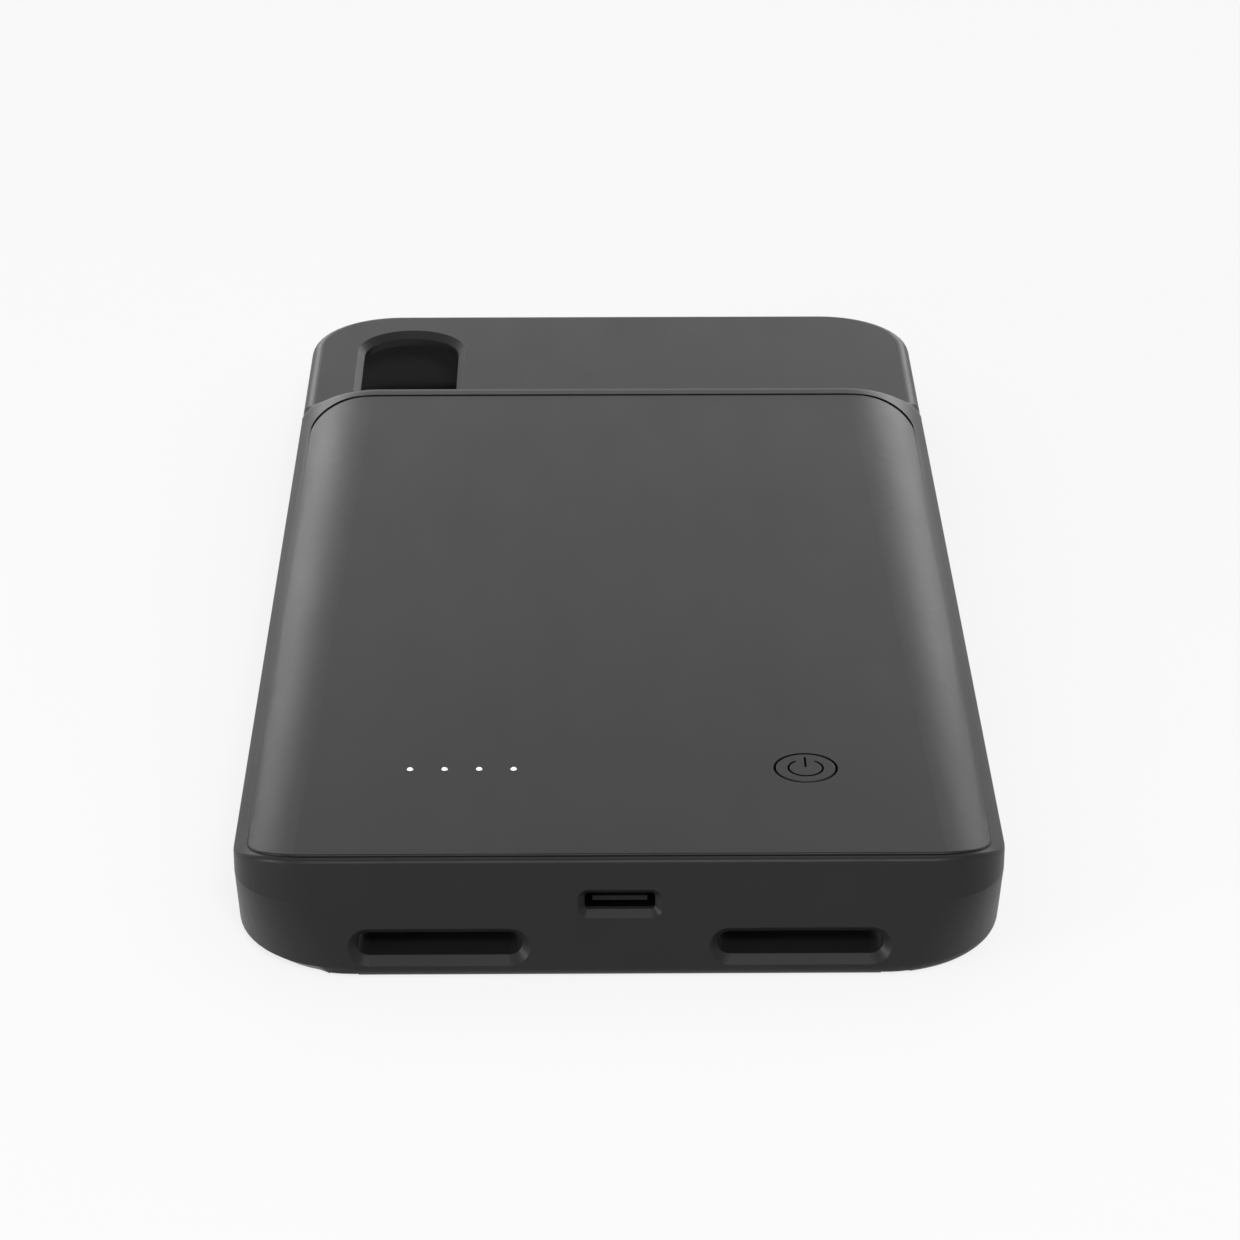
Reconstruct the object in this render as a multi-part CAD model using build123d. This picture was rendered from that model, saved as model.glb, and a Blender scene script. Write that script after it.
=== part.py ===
from build123d import *
import os
from math import acos, degrees, radians, sin

# Battery charging case for a 6.1-inch telephone, lying on its front lip with the battery hump up.
# The origin is the middle of the footprint on the plane that the lip rests on. +Z points up through
# the hump, -Y to the chin with the charging socket, +X to the wall with the volume keys.
# All sizes are in millimetres.

# The telephone that the pocket is made for, and the walls around it
PHONE_WIDTH = 75.7
PHONE_LENGTH = 150.9
PHONE_THICKNESS = 8.3
PHONE_CORNER = 10.6
PHONE_EDGE = 1.5
POCKET_CLEARANCE = 0.1
SIDE_WALL = 1.85
TOP_WALL = 1.7
CHIN_DEPTH = 7.2
LIP_THICKNESS = 1.0
LIP_REACH = 1.3
LIP_EDGE_RADIUS = 1.5
LIP_CORNER = 13.6
UPPER_BACK = 1.8
UPPER_EDGE_RADIUS = 1.6
CORNER_RADIUS = 11.6
CHIN_CORNER = 8.2
CHIN_WAIST = 9.0

# The hump: a flat top with elliptical flanks, narrower at the chin, and a rim round the cover. The rim is
# lower than the cover at the chin and rises to a collar at the far end, with a crest and a ramp down to
# the upper back.
HUMP_LENGTH = 125.0
FLANK_WIDTH = 9.8
FLANK_DROP = 6.4
CHIN_FLANK_WIDTH = 6.6
CHIN_FLANK_DROP = 4.8
FLANK_OVERHANG = 0.8
CREST_LENGTH = 0.8
CREST_DROP = 0.1
RAMP_LENGTH = 2.8
RIM_DROP = 0.2
COLLAR_RISE = 0.1
RIM_EDGE_RADIUS = 0.5
SIDE_RIM = 1.6
CHIN_RIM = 0.7
FAR_RIM = 1.2
BAY_NEAR_CORNER = 5.8
BAY_FAR_CORNER = 5.5
TRAY_THICKNESS = 0.8
BAY_HEIGHT = 2.9
COVER_WALL = 1.0
COVER_SIDE_GAP = 0.04
COVER_NEAR_GAP = 0.2
COVER_FAR_GAP = 0.15
COVER_FAR_RELIEF = 0.9
COVER_EDGE_RADIUS = 0.2
TRAY_GAP = 0.1

# Tabs that hold the cover to the tray
TAB_LENGTH = 5.0
TAB_WIDTH = 0.6
TAB_DROP = 0.7
TAB_CLEARANCE = 0.1
TAB_SPACING = 26.0
TAB_ROWS = 4

# The camera window in the upper back
WINDOW_WIDTH = 12.5
WINDOW_OFFSET = 26.5
WINDOW_FROM_TOP = 6.95
WINDOW_LENGTH = 22.8
WINDOW_LOWER_RADIUS = 3.0
WINDOW_CHAMFER = 0.85

# Keys in the side walls, and the opening for the telephone's own mute switch
KEY_HEIGHT = 3.4
KEY_LEVEL = 5.6
KEY_PROUD = 0.55
KEY_TRAVEL = 0.45
KEY_CLEARANCE = 0.12
KEY_FLANGE = 0.5
KEY_FLANGE_MARGIN = 0.7
KEY_EDGE_RADIUS = 0.25
SIDE_KEY_LENGTH = 22.0
SIDE_KEY_FROM_TOP = 47.0
VOLUME_KEY_LENGTH = 11.6
VOLUME_UP_FROM_TOP = 37.7
VOLUME_DOWN_FROM_TOP = 51.6
MUTE_LENGTH = 11.0
MUTE_HEIGHT = 5.2
MUTE_FROM_TOP = 23.0

# Openings in the chin's end face, and the two notches in the lip below it
SLOT_LENGTH = 17.0
SLOT_HEIGHT = 2.66
SLOT_OFFSET = 18.5
SLOT_LEVEL = 3.8
SLOT_CHAMFER = 0.85
PORT_WIDTH = 7.2
PORT_HEIGHT = 1.9
PORT_CORNER = 0.4
PORT_CHAMFER = 0.7
PORT_WALL = 1.0
PORT_BLOCK_MARGIN = 1.1
NOTCH_OFFSET = 28.3
NOTCH_WIDTH = 3.0
NOTCH_DEPTH = 0.5

# The charging socket under the control board
SOCKET_WIDTH = 8.0
SOCKET_HEIGHT = 2.2
SOCKET_DEPTH = 5.0
SOCKET_WALL = 0.25
SOCKET_CORNER = 0.8
SOCKET_CLEARANCE = 0.1
SOCKET_DROP = 0.55
SOCKET_LEG_WIDTH = 0.5
SOCKET_LEG_LENGTH = 0.9
TONGUE_WIDTH = 5.6
TONGUE_THICKNESS = 0.5
TONGUE_SETBACK = 0.3
SOCKET_BACK = 1.0
CONTACT_COUNT = 5
CONTACT_PITCH = 0.9
CONTACT_WIDTH = 0.4
CONTACT_THICKNESS = 0.12

# The plug that goes into the telephone, with its own small board in the chin
PLUG_WIDTH = 8.0
PLUG_HEIGHT = 3.0
PLUG_INSIDE = 4.0
PLUG_CLEARANCE = 0.1
PLUG_FOOT_RADIUS = 0.5
PLUG_TAB_WIDTH = 6.65
PLUG_TAB_THICKNESS = 1.5
PLUG_TAB_LENGTH = 6.5
PLUG_TAB_RADIUS = 0.7
PLUG_TIP_BEVEL = 0.3
PLUG_CONTACT_COUNT = 8
PLUG_CONTACT_PITCH = 0.62
PLUG_CONTACT_WIDTH = 0.36
PLUG_CONTACT_LENGTH = 2.4
PLUG_CONTACT_PROUD = 0.04
CHIN_POCKET_WIDTH = 15.2
CHIN_END_WALL = 1.8
CHIN_INNER_WALL = 1.1
CHIN_BOARD_THICKNESS = 0.6
CHIN_BOARD_GAP = 0.2
LINK_WIDTH = 1.8
LINK_DEPTH = 3.0
LINK_OFFSET = 6.1
LINK_PIN_COUNT = 4
LINK_PIN_PITCH = 0.7
LINK_PIN = 0.3

# The control board with its parts
BOARD_WIDTH = 56.0
BOARD_LENGTH = 23.5
BOARD_THICKNESS = 0.6
BOARD_STANDOFF = 0.25
BOARD_SETBACK = 2.4
BOARD_CORNER = 1.5
PAD_SIZE = 4.0
PAD_INSET = 2.5
SCREW_OFFSET = 11.5
SCREW_SETBACK = 4.6
SCREW_DIAMETER = 1.3
SCREW_LENGTH = 3.6
SCREW_HEAD_DIAMETER = 2.4
SCREW_HEAD_HEIGHT = 0.7
SCREW_HEAD_BEVEL = 0.25
SCREW_DRIVE_LENGTH = 1.4
SCREW_DRIVE_WIDTH = 0.3
SCREW_DRIVE_DEPTH = 0.35
SCREW_CLEARANCE = 0.05
CHIP_HEIGHT = 0.8
CHIP_LONG = 5.0
CHIP_SHORT = 3.0
CHIP_SPACING = 8.0
CHIP_BEVEL = 0.15
INDUCTOR_SIZE = 5.0
INDUCTOR_HEIGHT = 1.3
INDUCTOR_CORNER = 1.0
CAPACITOR_LENGTH = 2.0
CAPACITOR_WIDTH = 1.25
CAPACITOR_HEIGHT = 0.85
CAPACITOR_SPACING = 3.0
CAPACITOR_COUNT = 4

# The charge lights and the power button, in one row above the control board
LIGHT_ROW_SETBACK = 19.75
LIGHT_COUNT = 4
LIGHT_PITCH = 3.64
LIGHT_ROW_OFFSET = 16.5
LIGHT_DIAMETER = 0.68
LIGHT_CLEARANCE = 0.05
LIGHT_DOME = 0.2
LIGHT_BAR_WIDTH = 2.4
LIGHT_BAR_THICKNESS = 0.5
LED_LENGTH = 1.6
LED_WIDTH = 0.8
LED_HEIGHT = 0.5
BUTTON_DIAMETER = 6.3
BUTTON_OFFSET = 19.75
BUTTON_GAP = 0.27
BUTTON_FLANGE_MARGIN = 0.6
BUTTON_FLANGE = 0.4
BUTTON_PLAY = 0.08
BUTTON_STEM = 2.0
BUTTON_TRAVEL = 0.25
BUTTON_EDGE_RADIUS = 0.12
SWITCH_SIZE = 3.2
SWITCH_FLOOR = 0.1
SWITCH_BEVEL = 0.4
PLUNGER_DIAMETER = 1.6
PLUNGER_CLEARANCE = 0.15
PLUNGER_DEPTH = 0.2
PLUNGER_PROUD = 0.3

# The battery cell with its protection board and leads
CELL_WIDTH = 62.0
CELL_THICKNESS = 2.5
CELL_EDGE = 0.8
CELL_TO_BOARD = 5.0
CELL_TO_HUMP_END = 7.5
ADHESIVE_THICKNESS = 0.1
ADHESIVE_WIDTH = 16.0
ADHESIVE_MARGIN = 6.0
RIB_WIDTH = 0.8
RIB_HEIGHT = 1.0
RIB_LENGTH = 12.0
RIB_GAP = 0.4
GUARD_BOARD_WIDTH = 32.0
GUARD_BOARD_LENGTH = 3.2
CELL_TAB_WIDTH = 4.0
CELL_TAB_THICKNESS = 0.15
CELL_TAB_OFFSET = 10.0
LEAD_DIAMETER = 0.9
LEAD_OFFSET = 3.0
LEAD_OVERLAP = 2.2

# Levels and places that follow from the sizes above
POCKET_WIDTH = PHONE_WIDTH + 2 * POCKET_CLEARANCE
POCKET_LENGTH = PHONE_LENGTH + 2 * POCKET_CLEARANCE
CASE_WIDTH = POCKET_WIDTH + 2 * SIDE_WALL
CASE_LENGTH = POCKET_LENGTH + TOP_WALL + CHIN_DEPTH
HALF_WIDTH = CASE_WIDTH / 2
NEAR_END = -CASE_LENGTH / 2
FAR_END = CASE_LENGTH / 2
POCKET_NEAR = NEAR_END + CHIN_DEPTH
POCKET_MIDDLE = POCKET_NEAR + POCKET_LENGTH / 2
POCKET_HALF_WIDTH = POCKET_WIDTH / 2
LEDGE = LIP_THICKNESS + PHONE_THICKNESS + POCKET_CLEARANCE
MID_PHONE = LIP_THICKNESS + PHONE_THICKNESS / 2
UPPER_TOP = LEDGE + UPPER_BACK
TRAY_TOP = LEDGE + TRAY_THICKNESS
COVER_UNDERSIDE = TRAY_TOP + BAY_HEIGHT
HUMP_TOP = COVER_UNDERSIDE + COVER_WALL
HUMP_END = NEAR_END + HUMP_LENGTH
RAMP_END = HUMP_END + RAMP_LENGTH
FORM_FOOT = LEDGE / 2
BOARD_BOTTOM = TRAY_TOP + BOARD_STANDOFF
BOARD_TOP = BOARD_BOTTOM + BOARD_THICKNESS
BOARD_NEAR = NEAR_END + BOARD_SETBACK
BOARD_FAR = BOARD_NEAR + BOARD_LENGTH
BOARD_MIDDLE = (BOARD_NEAR + BOARD_FAR) / 2
PORT_LEVEL = BOARD_BOTTOM - SOCKET_DROP - SOCKET_HEIGHT / 2
SOCKET_NEAR = NEAR_END + PORT_WALL
SOCKET_FAR = SOCKET_NEAR + SOCKET_DEPTH
CHIN_POCKET_NEAR = NEAR_END + CHIN_END_WALL
CHIN_POCKET_FAR = POCKET_NEAR - CHIN_INNER_WALL
PLUG_TOP = MID_PHONE + PLUG_HEIGHT / 2
CHIN_BOARD_TOP = PLUG_TOP + CHIN_BOARD_THICKNESS
LIGHT_ROW = NEAR_END + LIGHT_ROW_SETBACK
SWITCH_HEIGHT = SWITCH_FLOOR + BUTTON_TRAVEL + PLUNGER_DEPTH
SCREW_ROW = NEAR_END + SCREW_SETBACK
CELL_NEAR = BOARD_FAR + CELL_TO_BOARD
CELL_LENGTH = HUMP_END - CELL_TO_HUMP_END - CELL_NEAR
CELL_MIDDLE = CELL_NEAR + CELL_LENGTH / 2
CELL_BOTTOM = TRAY_TOP + ADHESIVE_THICKNESS
GUARD_BOARD_MIDDLE = BOARD_FAR + CELL_TO_BOARD / 2
BEYOND = 2.0
QUARTER_TURN = 90


def block(x_range, y_range, z_range):
    """A box between two limits on each axis."""
    spans = (x_range, y_range, z_range)
    sizes = [high - low for low, high in spans]
    centre = [(high + low) / 2 for low, high in spans]
    return Pos(*centre) * Box(*sizes)


def prism(sketch, bottom, top):
    """A flat outline on the XY plane, extruded between two levels."""
    return extrude(Pos(0, 0, bottom) * sketch, top - bottom)


def cross_plane(y):
    """The plane across the case at y, with its own X along +X and its own Y along +Z."""
    return Plane(origin=(0, y, 0), x_dir=(1, 0, 0), z_dir=(0, -1, 0))


def side_plane(x):
    """The plane along the case at x, with its own X along +Y and its own Y along +Z."""
    return Plane(origin=(x, 0, 0), x_dir=(0, 1, 0), z_dir=(1, 0, 0))


def rounded_outline(half_width, near, far, near_corner, far_corner):
    """An outline seen from above, with one radius at its near corners and one at its far corners."""
    sketch = Pos(0, (near + far) / 2) * Rectangle(2 * half_width, far - near)
    sketch = fillet(sketch.vertices().group_by(Axis.Y)[0], near_corner)
    return fillet(sketch.vertices().group_by(Axis.Y)[-1], far_corner)


def case_outline(chin_corner):
    """The outline of the whole case, seen from above, for a radius at the chin's corners."""
    return rounded_outline(HALF_WIDTH, NEAR_END, FAR_END, chin_corner, CORNER_RADIUS)


def bay_outline(inset):
    """The outline of the battery bay, seen from above, taken in by an inset."""
    half = HALF_WIDTH - SIDE_RIM - inset
    near = NEAR_END + CHIN_RIM + inset
    far = HUMP_END - FAR_RIM - inset
    return rounded_outline(half, near, far, BAY_NEAR_CORNER - inset, BAY_FAR_CORNER - inset)


def cover_outline(inset):
    """The outline of the cover, seen from above, taken in by an inset.

    The cover lies close to the rim along its sides and shows a gap at its two ends.
    """
    half = HALF_WIDTH - SIDE_RIM - COVER_SIDE_GAP - inset
    near = NEAR_END + CHIN_RIM + COVER_NEAR_GAP + inset
    far = HUMP_END - FAR_RIM - COVER_FAR_GAP - inset
    near_corner = BAY_NEAR_CORNER - COVER_NEAR_GAP - inset
    far_corner = BAY_FAR_CORNER + COVER_FAR_RELIEF - inset
    return rounded_outline(half, near, far, near_corner, far_corner)


def arched_section(y, half_width, top, flank_width, flank_drop, overhang):
    """A section across the case: straight walls, elliptical flanks and a flat top.

    The ellipse would reach past the wall by the overhang, so that it meets the wall at an edge.
    """
    flat = half_width - flank_width
    middle = top - flank_drop
    reach = flank_width + overhang
    start = degrees(acos(flank_width / reach))
    shoulder = middle + flank_drop * sin(radians(start))
    sweep = QUARTER_TURN - start
    with BuildSketch(cross_plane(y)) as section:
        with BuildLine():
            Line((-half_width, FORM_FOOT), (half_width, FORM_FOOT))
            Line((half_width, FORM_FOOT), (half_width, shoulder))
            EllipticalCenterArc((flat, middle), reach, flank_drop, start, arc_size=sweep)
            Line((flat, top), (-flat, top))
            EllipticalCenterArc((-flat, middle), reach, flank_drop, QUARTER_TURN, arc_size=sweep)
            Line((-half_width, shoulder), (-half_width, FORM_FOOT))
        make_face()
    return section.sketch


def hump_form(inset):
    """The hump over its whole length, taken in by an inset, with flanks that narrow to the chin."""
    half_width = HALF_WIDTH - inset
    top = HUMP_TOP - inset
    far = arched_section(HUMP_END, half_width, top, FLANK_WIDTH - inset, FLANK_DROP, FLANK_OVERHANG)
    width = CHIN_FLANK_WIDTH - inset
    near = arched_section(NEAR_END, half_width, top, width, CHIN_FLANK_DROP, FLANK_OVERHANG)
    return loft([far, near], ruled=True)


def collar_section(y, drop):
    """The section of the rim at the hump's far end at y, lower than the cover by a drop."""
    top = HUMP_TOP - drop
    return arched_section(y, HALF_WIDTH, top, FLANK_WIDTH, FLANK_DROP - drop, FLANK_OVERHANG)


def chin_section():
    """The section of the rim at the chin, a little lower than the cover."""
    top = HUMP_TOP - RIM_DROP
    drop = CHIN_FLANK_DROP - RIM_DROP
    return arched_section(NEAR_END, HALF_WIDTH, top, CHIN_FLANK_WIDTH, drop, FLANK_OVERHANG)


def upper_section(y):
    """The upper back's section at y."""
    return arched_section(y, HALF_WIDTH, UPPER_TOP, UPPER_EDGE_RADIUS, UPPER_EDGE_RADIUS, 0)


def outer_form():
    """The whole outside of the case: upper back, ramp and hump over one base."""
    waist = case_outline(CHIN_CORNER)
    blank = loft([case_outline(LIP_CORNER), Pos(0, 0, CHIN_WAIST) * waist], ruled=True)
    blank += prism(waist, CHIN_WAIST, HUMP_TOP + BEYOND)
    body = blank & block((-HALF_WIDTH, HALF_WIDTH), (NEAR_END, FAR_END), (0, UPPER_TOP))
    body -= block((-HALF_WIDTH, HALF_WIDTH), (NEAR_END, RAMP_END), (FORM_FOOT, UPPER_TOP))
    body = fillet(body.edges().group_by(Axis.Z)[-1].sort_by(Axis.Y)[1:], UPPER_EDGE_RADIUS)
    body = fillet(body.edges().group_by(Axis.Z)[0], LIP_EDGE_RADIUS)
    collar = collar_section(HUMP_END, -COLLAR_RISE)
    arch = loft([collar, chin_section()], ruled=True)
    hump = arch & blank
    made = new_edges(arch, blank, combined=hump)
    hump = fillet([edge for edge in made if edge.center().Z > HUMP_TOP - FLANK_DROP], RIM_EDGE_RADIUS)
    crest = collar_section(HUMP_END + CREST_LENGTH, CREST_DROP - COLLAR_RISE)
    ramp = loft([collar, crest, upper_section(RAMP_END)], ruled=True)
    return body + ramp + hump


def phone_pocket():
    """The room for the telephone, with its rounded edges, and the mouth through the front lip."""
    sketch = RectangleRounded(POCKET_WIDTH, POCKET_LENGTH, PHONE_CORNER)
    room = prism(Pos(0, POCKET_MIDDLE) * sketch, LIP_THICKNESS, LEDGE)
    room = fillet(room.edges().group_by(Axis.Z)[-1], PHONE_EDGE)
    mouth_width = POCKET_WIDTH - 2 * LIP_REACH
    mouth_length = POCKET_LENGTH - 2 * LIP_REACH
    mouth = RectangleRounded(mouth_width, mouth_length, PHONE_CORNER - LIP_REACH)
    return room + prism(Pos(0, POCKET_MIDDLE) * mouth, -BEYOND, LEDGE - PHONE_EDGE)


def camera_window():
    """The window's outline: a round upper end and small lower corners."""
    radius = WINDOW_WIDTH / 2
    upper_centre = FAR_END - WINDOW_FROM_TOP - radius
    lower_end = FAR_END - WINDOW_FROM_TOP - WINDOW_LENGTH
    middle = (upper_centre + lower_end) / 2
    sketch = Pos(-WINDOW_OFFSET, middle) * Rectangle(WINDOW_WIDTH, upper_centre - lower_end)
    sketch = fillet(sketch.vertices().group_by(Axis.Y)[0], WINDOW_LOWER_RADIUS)
    return sketch + Pos(-WINDOW_OFFSET, upper_centre) * Circle(radius)


def window_cut():
    """The window through the upper back, with a chamfer that opens outwards."""
    sketch = camera_window()
    wide = offset(sketch, WINDOW_CHAMFER)
    chamfer_foot = UPPER_TOP - WINDOW_CHAMFER
    bevel = loft([Pos(0, 0, chamfer_foot) * sketch, Pos(0, 0, UPPER_TOP) * wide], ruled=True)
    return prism(sketch, LEDGE - BEYOND, UPPER_TOP) + bevel


def bevelled_hole(narrow, wide, bevel_depth, depth):
    """A hole into the chin's end face, with a bevel that opens outwards."""
    mouth = cross_plane(NEAR_END) * wide
    throat = cross_plane(NEAR_END + bevel_depth) * narrow
    return loft([mouth, throat], ruled=True) + extrude(throat, -(depth - bevel_depth))


def sound_slot(side):
    """One sound slot, from the chin's end face through to the telephone pocket."""
    place = Pos(side * SLOT_OFFSET, SLOT_LEVEL)
    narrow = place * SlotOverall(SLOT_LENGTH, SLOT_HEIGHT)
    wide = place * SlotOverall(SLOT_LENGTH + 2 * SLOT_CHAMFER, SLOT_HEIGHT + 2 * SLOT_CHAMFER)
    return bevelled_hole(narrow, wide, SLOT_CHAMFER, CHIN_DEPTH + BEYOND)


def port_hole():
    """The charging port's mouth, in front of the socket."""
    place = Pos(0, PORT_LEVEL)
    narrow = place * RectangleRounded(PORT_WIDTH, PORT_HEIGHT, PORT_CORNER)
    wide_corner = PORT_CORNER + PORT_CHAMFER
    bevel = 2 * PORT_CHAMFER
    wide = place * RectangleRounded(PORT_WIDTH + bevel, PORT_HEIGHT + bevel, wide_corner)
    return bevelled_hole(narrow, wide, PORT_CHAMFER, PORT_WALL + SOCKET_WALL)


def port_surround(margin, far):
    """A block round the charging port, from the rim to a far limit, grown by a margin."""
    half = PORT_WIDTH / 2 + PORT_CHAMFER + PORT_BLOCK_MARGIN + margin
    top = PORT_LEVEL + PORT_HEIGHT / 2 + PORT_CHAMFER + PORT_BLOCK_MARGIN / 2 + margin
    return block((-half, half), (NEAR_END + CHIN_RIM / 2, far), (LEDGE, top))


def chin_pocket():
    """The room in the chin for the socket, the plug and its board, open towards the battery bay."""
    half = CHIN_POCKET_WIDTH / 2
    floor = MID_PHONE - PLUG_HEIGHT / 2 - PLUG_CLEARANCE
    room = block((-half, half), (CHIN_POCKET_NEAR, CHIN_POCKET_FAR), (floor, LEDGE + BEYOND))
    socket_half = SOCKET_WIDTH / 2 + SOCKET_CLEARANCE
    socket_floor = PORT_LEVEL - SOCKET_HEIGHT / 2 - SOCKET_CLEARANCE
    socket_span = (SOCKET_NEAR, CHIN_POCKET_FAR)
    room += block((-socket_half, socket_half), socket_span, (socket_floor, LEDGE + BEYOND))
    plug_half = PLUG_WIDTH / 2 + PLUG_CLEARANCE
    plug_levels = (floor, PLUG_TOP + PLUG_CLEARANCE)
    return room + block((-plug_half, plug_half), (CHIN_POCKET_FAR, POCKET_NEAR), plug_levels)


def key_opening(side, middle, length):
    """The slot for one key through a side wall, with the recess that its flange moves in."""
    gap = 2 * KEY_CLEARANCE
    outside = side_plane(side * POCKET_HALF_WIDTH)
    hole = outside * Pos(middle, KEY_LEVEL) * SlotOverall(length + gap, KEY_HEIGHT + gap)
    rim = 2 * KEY_FLANGE_MARGIN + gap
    recess = outside * Pos(middle, KEY_LEVEL) * SlotOverall(length + rim, KEY_HEIGHT + rim)
    depth = KEY_FLANGE + KEY_TRAVEL + KEY_CLEARANCE
    through = extrude(hole, side * (SIDE_WALL + BEYOND))
    return through + extrude(recess, side * depth) + extrude(recess, -side * PHONE_EDGE)


def key_cap(side, middle, length):
    """One key: a rounded head in its slot on a flange inside the wall."""
    flange_outer = POCKET_HALF_WIDTH + KEY_FLANGE + KEY_TRAVEL
    head = side_plane(side * flange_outer) * Pos(middle, KEY_LEVEL) * SlotOverall(length, KEY_HEIGHT)
    head_length = SIDE_WALL - KEY_FLANGE - KEY_TRAVEL + KEY_PROUD
    cap = extrude(head, side * head_length)
    outer_face = cap.faces().sort_by(Axis.X)[-1 if side > 0 else 0]
    cap = fillet(outer_face.edges(), KEY_EDGE_RADIUS)
    margin = 2 * KEY_FLANGE_MARGIN
    flange = side_plane(side * flange_outer) * Pos(middle, KEY_LEVEL)
    flange = flange * SlotOverall(length + margin, KEY_HEIGHT + margin)
    return cap + extrude(flange, -side * KEY_FLANGE)


def keys():
    """Each key's name, the side that it is on, its middle and its length."""
    return [
        ("side_button", -1, FAR_END - SIDE_KEY_FROM_TOP, SIDE_KEY_LENGTH),
        ("volume_up_button", 1, FAR_END - VOLUME_UP_FROM_TOP, VOLUME_KEY_LENGTH),
        ("volume_down_button", 1, FAR_END - VOLUME_DOWN_FROM_TOP, VOLUME_KEY_LENGTH),
    ]


def mute_opening():
    """The opening in the +X wall for the telephone's mute switch."""
    outside = side_plane(POCKET_HALF_WIDTH - PHONE_EDGE)
    hole = outside * Pos(FAR_END - MUTE_FROM_TOP, KEY_LEVEL) * SlotOverall(MUTE_LENGTH, MUTE_HEIGHT)
    return extrude(hole, PHONE_EDGE + SIDE_WALL + BEYOND)


def lip_notch(side):
    """One small notch in the front lip below the chin."""
    low = side * NOTCH_OFFSET - NOTCH_WIDTH / 2
    high = side * NOTCH_OFFSET + NOTCH_WIDTH / 2
    return block((low, high), (NEAR_END, POCKET_NEAR), (-BEYOND, NOTCH_DEPTH))


def screw_places():
    """The two places of the board screws, beside the charging socket."""
    return [(side * SCREW_OFFSET, SCREW_ROW) for side in (-1, 1)]


def case_frame():
    """The moulded frame: front lip, walls, upper back with window, rim and chin."""
    frame = outer_form() - phone_pocket()
    frame -= prism(bay_outline(0), LEDGE, HUMP_TOP + BEYOND)
    frame += port_surround(0, SOCKET_NEAR)
    frame -= window_cut()
    frame -= chin_pocket()
    frame -= port_hole()
    for side in (-1, 1):
        frame -= sound_slot(side)
        frame -= lip_notch(side)
    for x, y in screw_places():
        radius = SCREW_DIAMETER / 2 + SCREW_CLEARANCE
        bore_depth = SCREW_LENGTH - (BOARD_TOP - LEDGE) + BOARD_THICKNESS
        frame -= Pos(x, y, LEDGE - bore_depth / 2) * Cylinder(radius, bore_depth)
    for _, side, middle, length in keys():
        frame -= key_opening(side, middle, length)
    return frame - mute_opening()


def tab_places():
    """The places of the cover's tabs: a row along each side of the bay."""
    x = HALF_WIDTH - SIDE_RIM - COVER_SIDE_GAP - TAB_WIDTH
    middle = (NEAR_END + HUMP_END) / 2
    rows = [middle + (index - (TAB_ROWS - 1) / 2) * TAB_SPACING for index in range(TAB_ROWS)]
    return [(side * x, y) for side in (-1, 1) for y in rows]


def chin_opening(margin):
    """The opening in the tray over the chin pocket and the port block."""
    half = CHIN_POCKET_WIDTH / 2 + margin
    return block((-half, half), (NEAR_END, CHIN_POCKET_FAR + margin), (LEDGE - BEYOND, TRAY_TOP + BEYOND))


def board_pads():
    """The low pads on the tray that carry the control board and the protection board."""
    pads = Part()
    x = BOARD_WIDTH / 2 - PAD_INSET
    for side in (-1, 1):
        for y in (BOARD_MIDDLE, BOARD_FAR - PAD_INSET):
            place = Pos(side * x, y, TRAY_TOP + BOARD_STANDOFF / 2)
            pads += place * Box(PAD_SIZE, PAD_SIZE, BOARD_STANDOFF)
        guard_x = GUARD_BOARD_WIDTH / 2 - PAD_INSET
        place = Pos(side * guard_x, GUARD_BOARD_MIDDLE, TRAY_TOP + BOARD_STANDOFF / 2)
        pads += place * Box(PAD_SIZE, GUARD_BOARD_LENGTH, BOARD_STANDOFF)
    return pads


def cell_ribs():
    """Angled ribs on the tray that keep the battery cell in place."""
    ribs = Part()
    out_x = CELL_WIDTH / 2 + RIB_GAP
    out_y = CELL_LENGTH / 2 + RIB_GAP
    levels = (TRAY_TOP, TRAY_TOP + RIB_HEIGHT)
    corner = block((out_x, out_x + RIB_WIDTH), (out_y - RIB_LENGTH, out_y + RIB_WIDTH), levels)
    corner += block((out_x - RIB_LENGTH, out_x), (out_y, out_y + RIB_WIDTH), levels)
    for about_x in (False, True):
        for about_y in (False, True):
            rib = mirror(corner, Plane.YZ) if about_y else corner
            rib = mirror(rib, Plane.XZ) if about_x else rib
            ribs += Pos(0, CELL_MIDDLE, 0) * rib
    return ribs


def inner_tray():
    """The plate between the telephone and the battery, on the frame's ledge."""
    tray = prism(bay_outline(TRAY_GAP), LEDGE, TRAY_TOP)
    tray -= chin_opening(TRAY_GAP)
    for x, y in tab_places():
        slot = Box(TAB_WIDTH + 2 * TAB_CLEARANCE, TAB_LENGTH + 2 * TAB_CLEARANCE, 2 * TRAY_THICKNESS)
        tray -= Pos(x, y, LEDGE + TRAY_THICKNESS / 2) * slot
    for x, y in screw_places():
        radius = SCREW_DIAMETER / 2 + TAB_CLEARANCE
        tray -= Pos(x, y, LEDGE) * Cylinder(radius, 2 * TRAY_THICKNESS + BEYOND)
    return tray + board_pads() + cell_ribs()


def light_places():
    """The places of the charge lights, in a row."""
    first = -LIGHT_ROW_OFFSET - (LIGHT_COUNT - 1) / 2 * LIGHT_PITCH
    return [(first + index * LIGHT_PITCH, LIGHT_ROW) for index in range(LIGHT_COUNT)]


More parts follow.
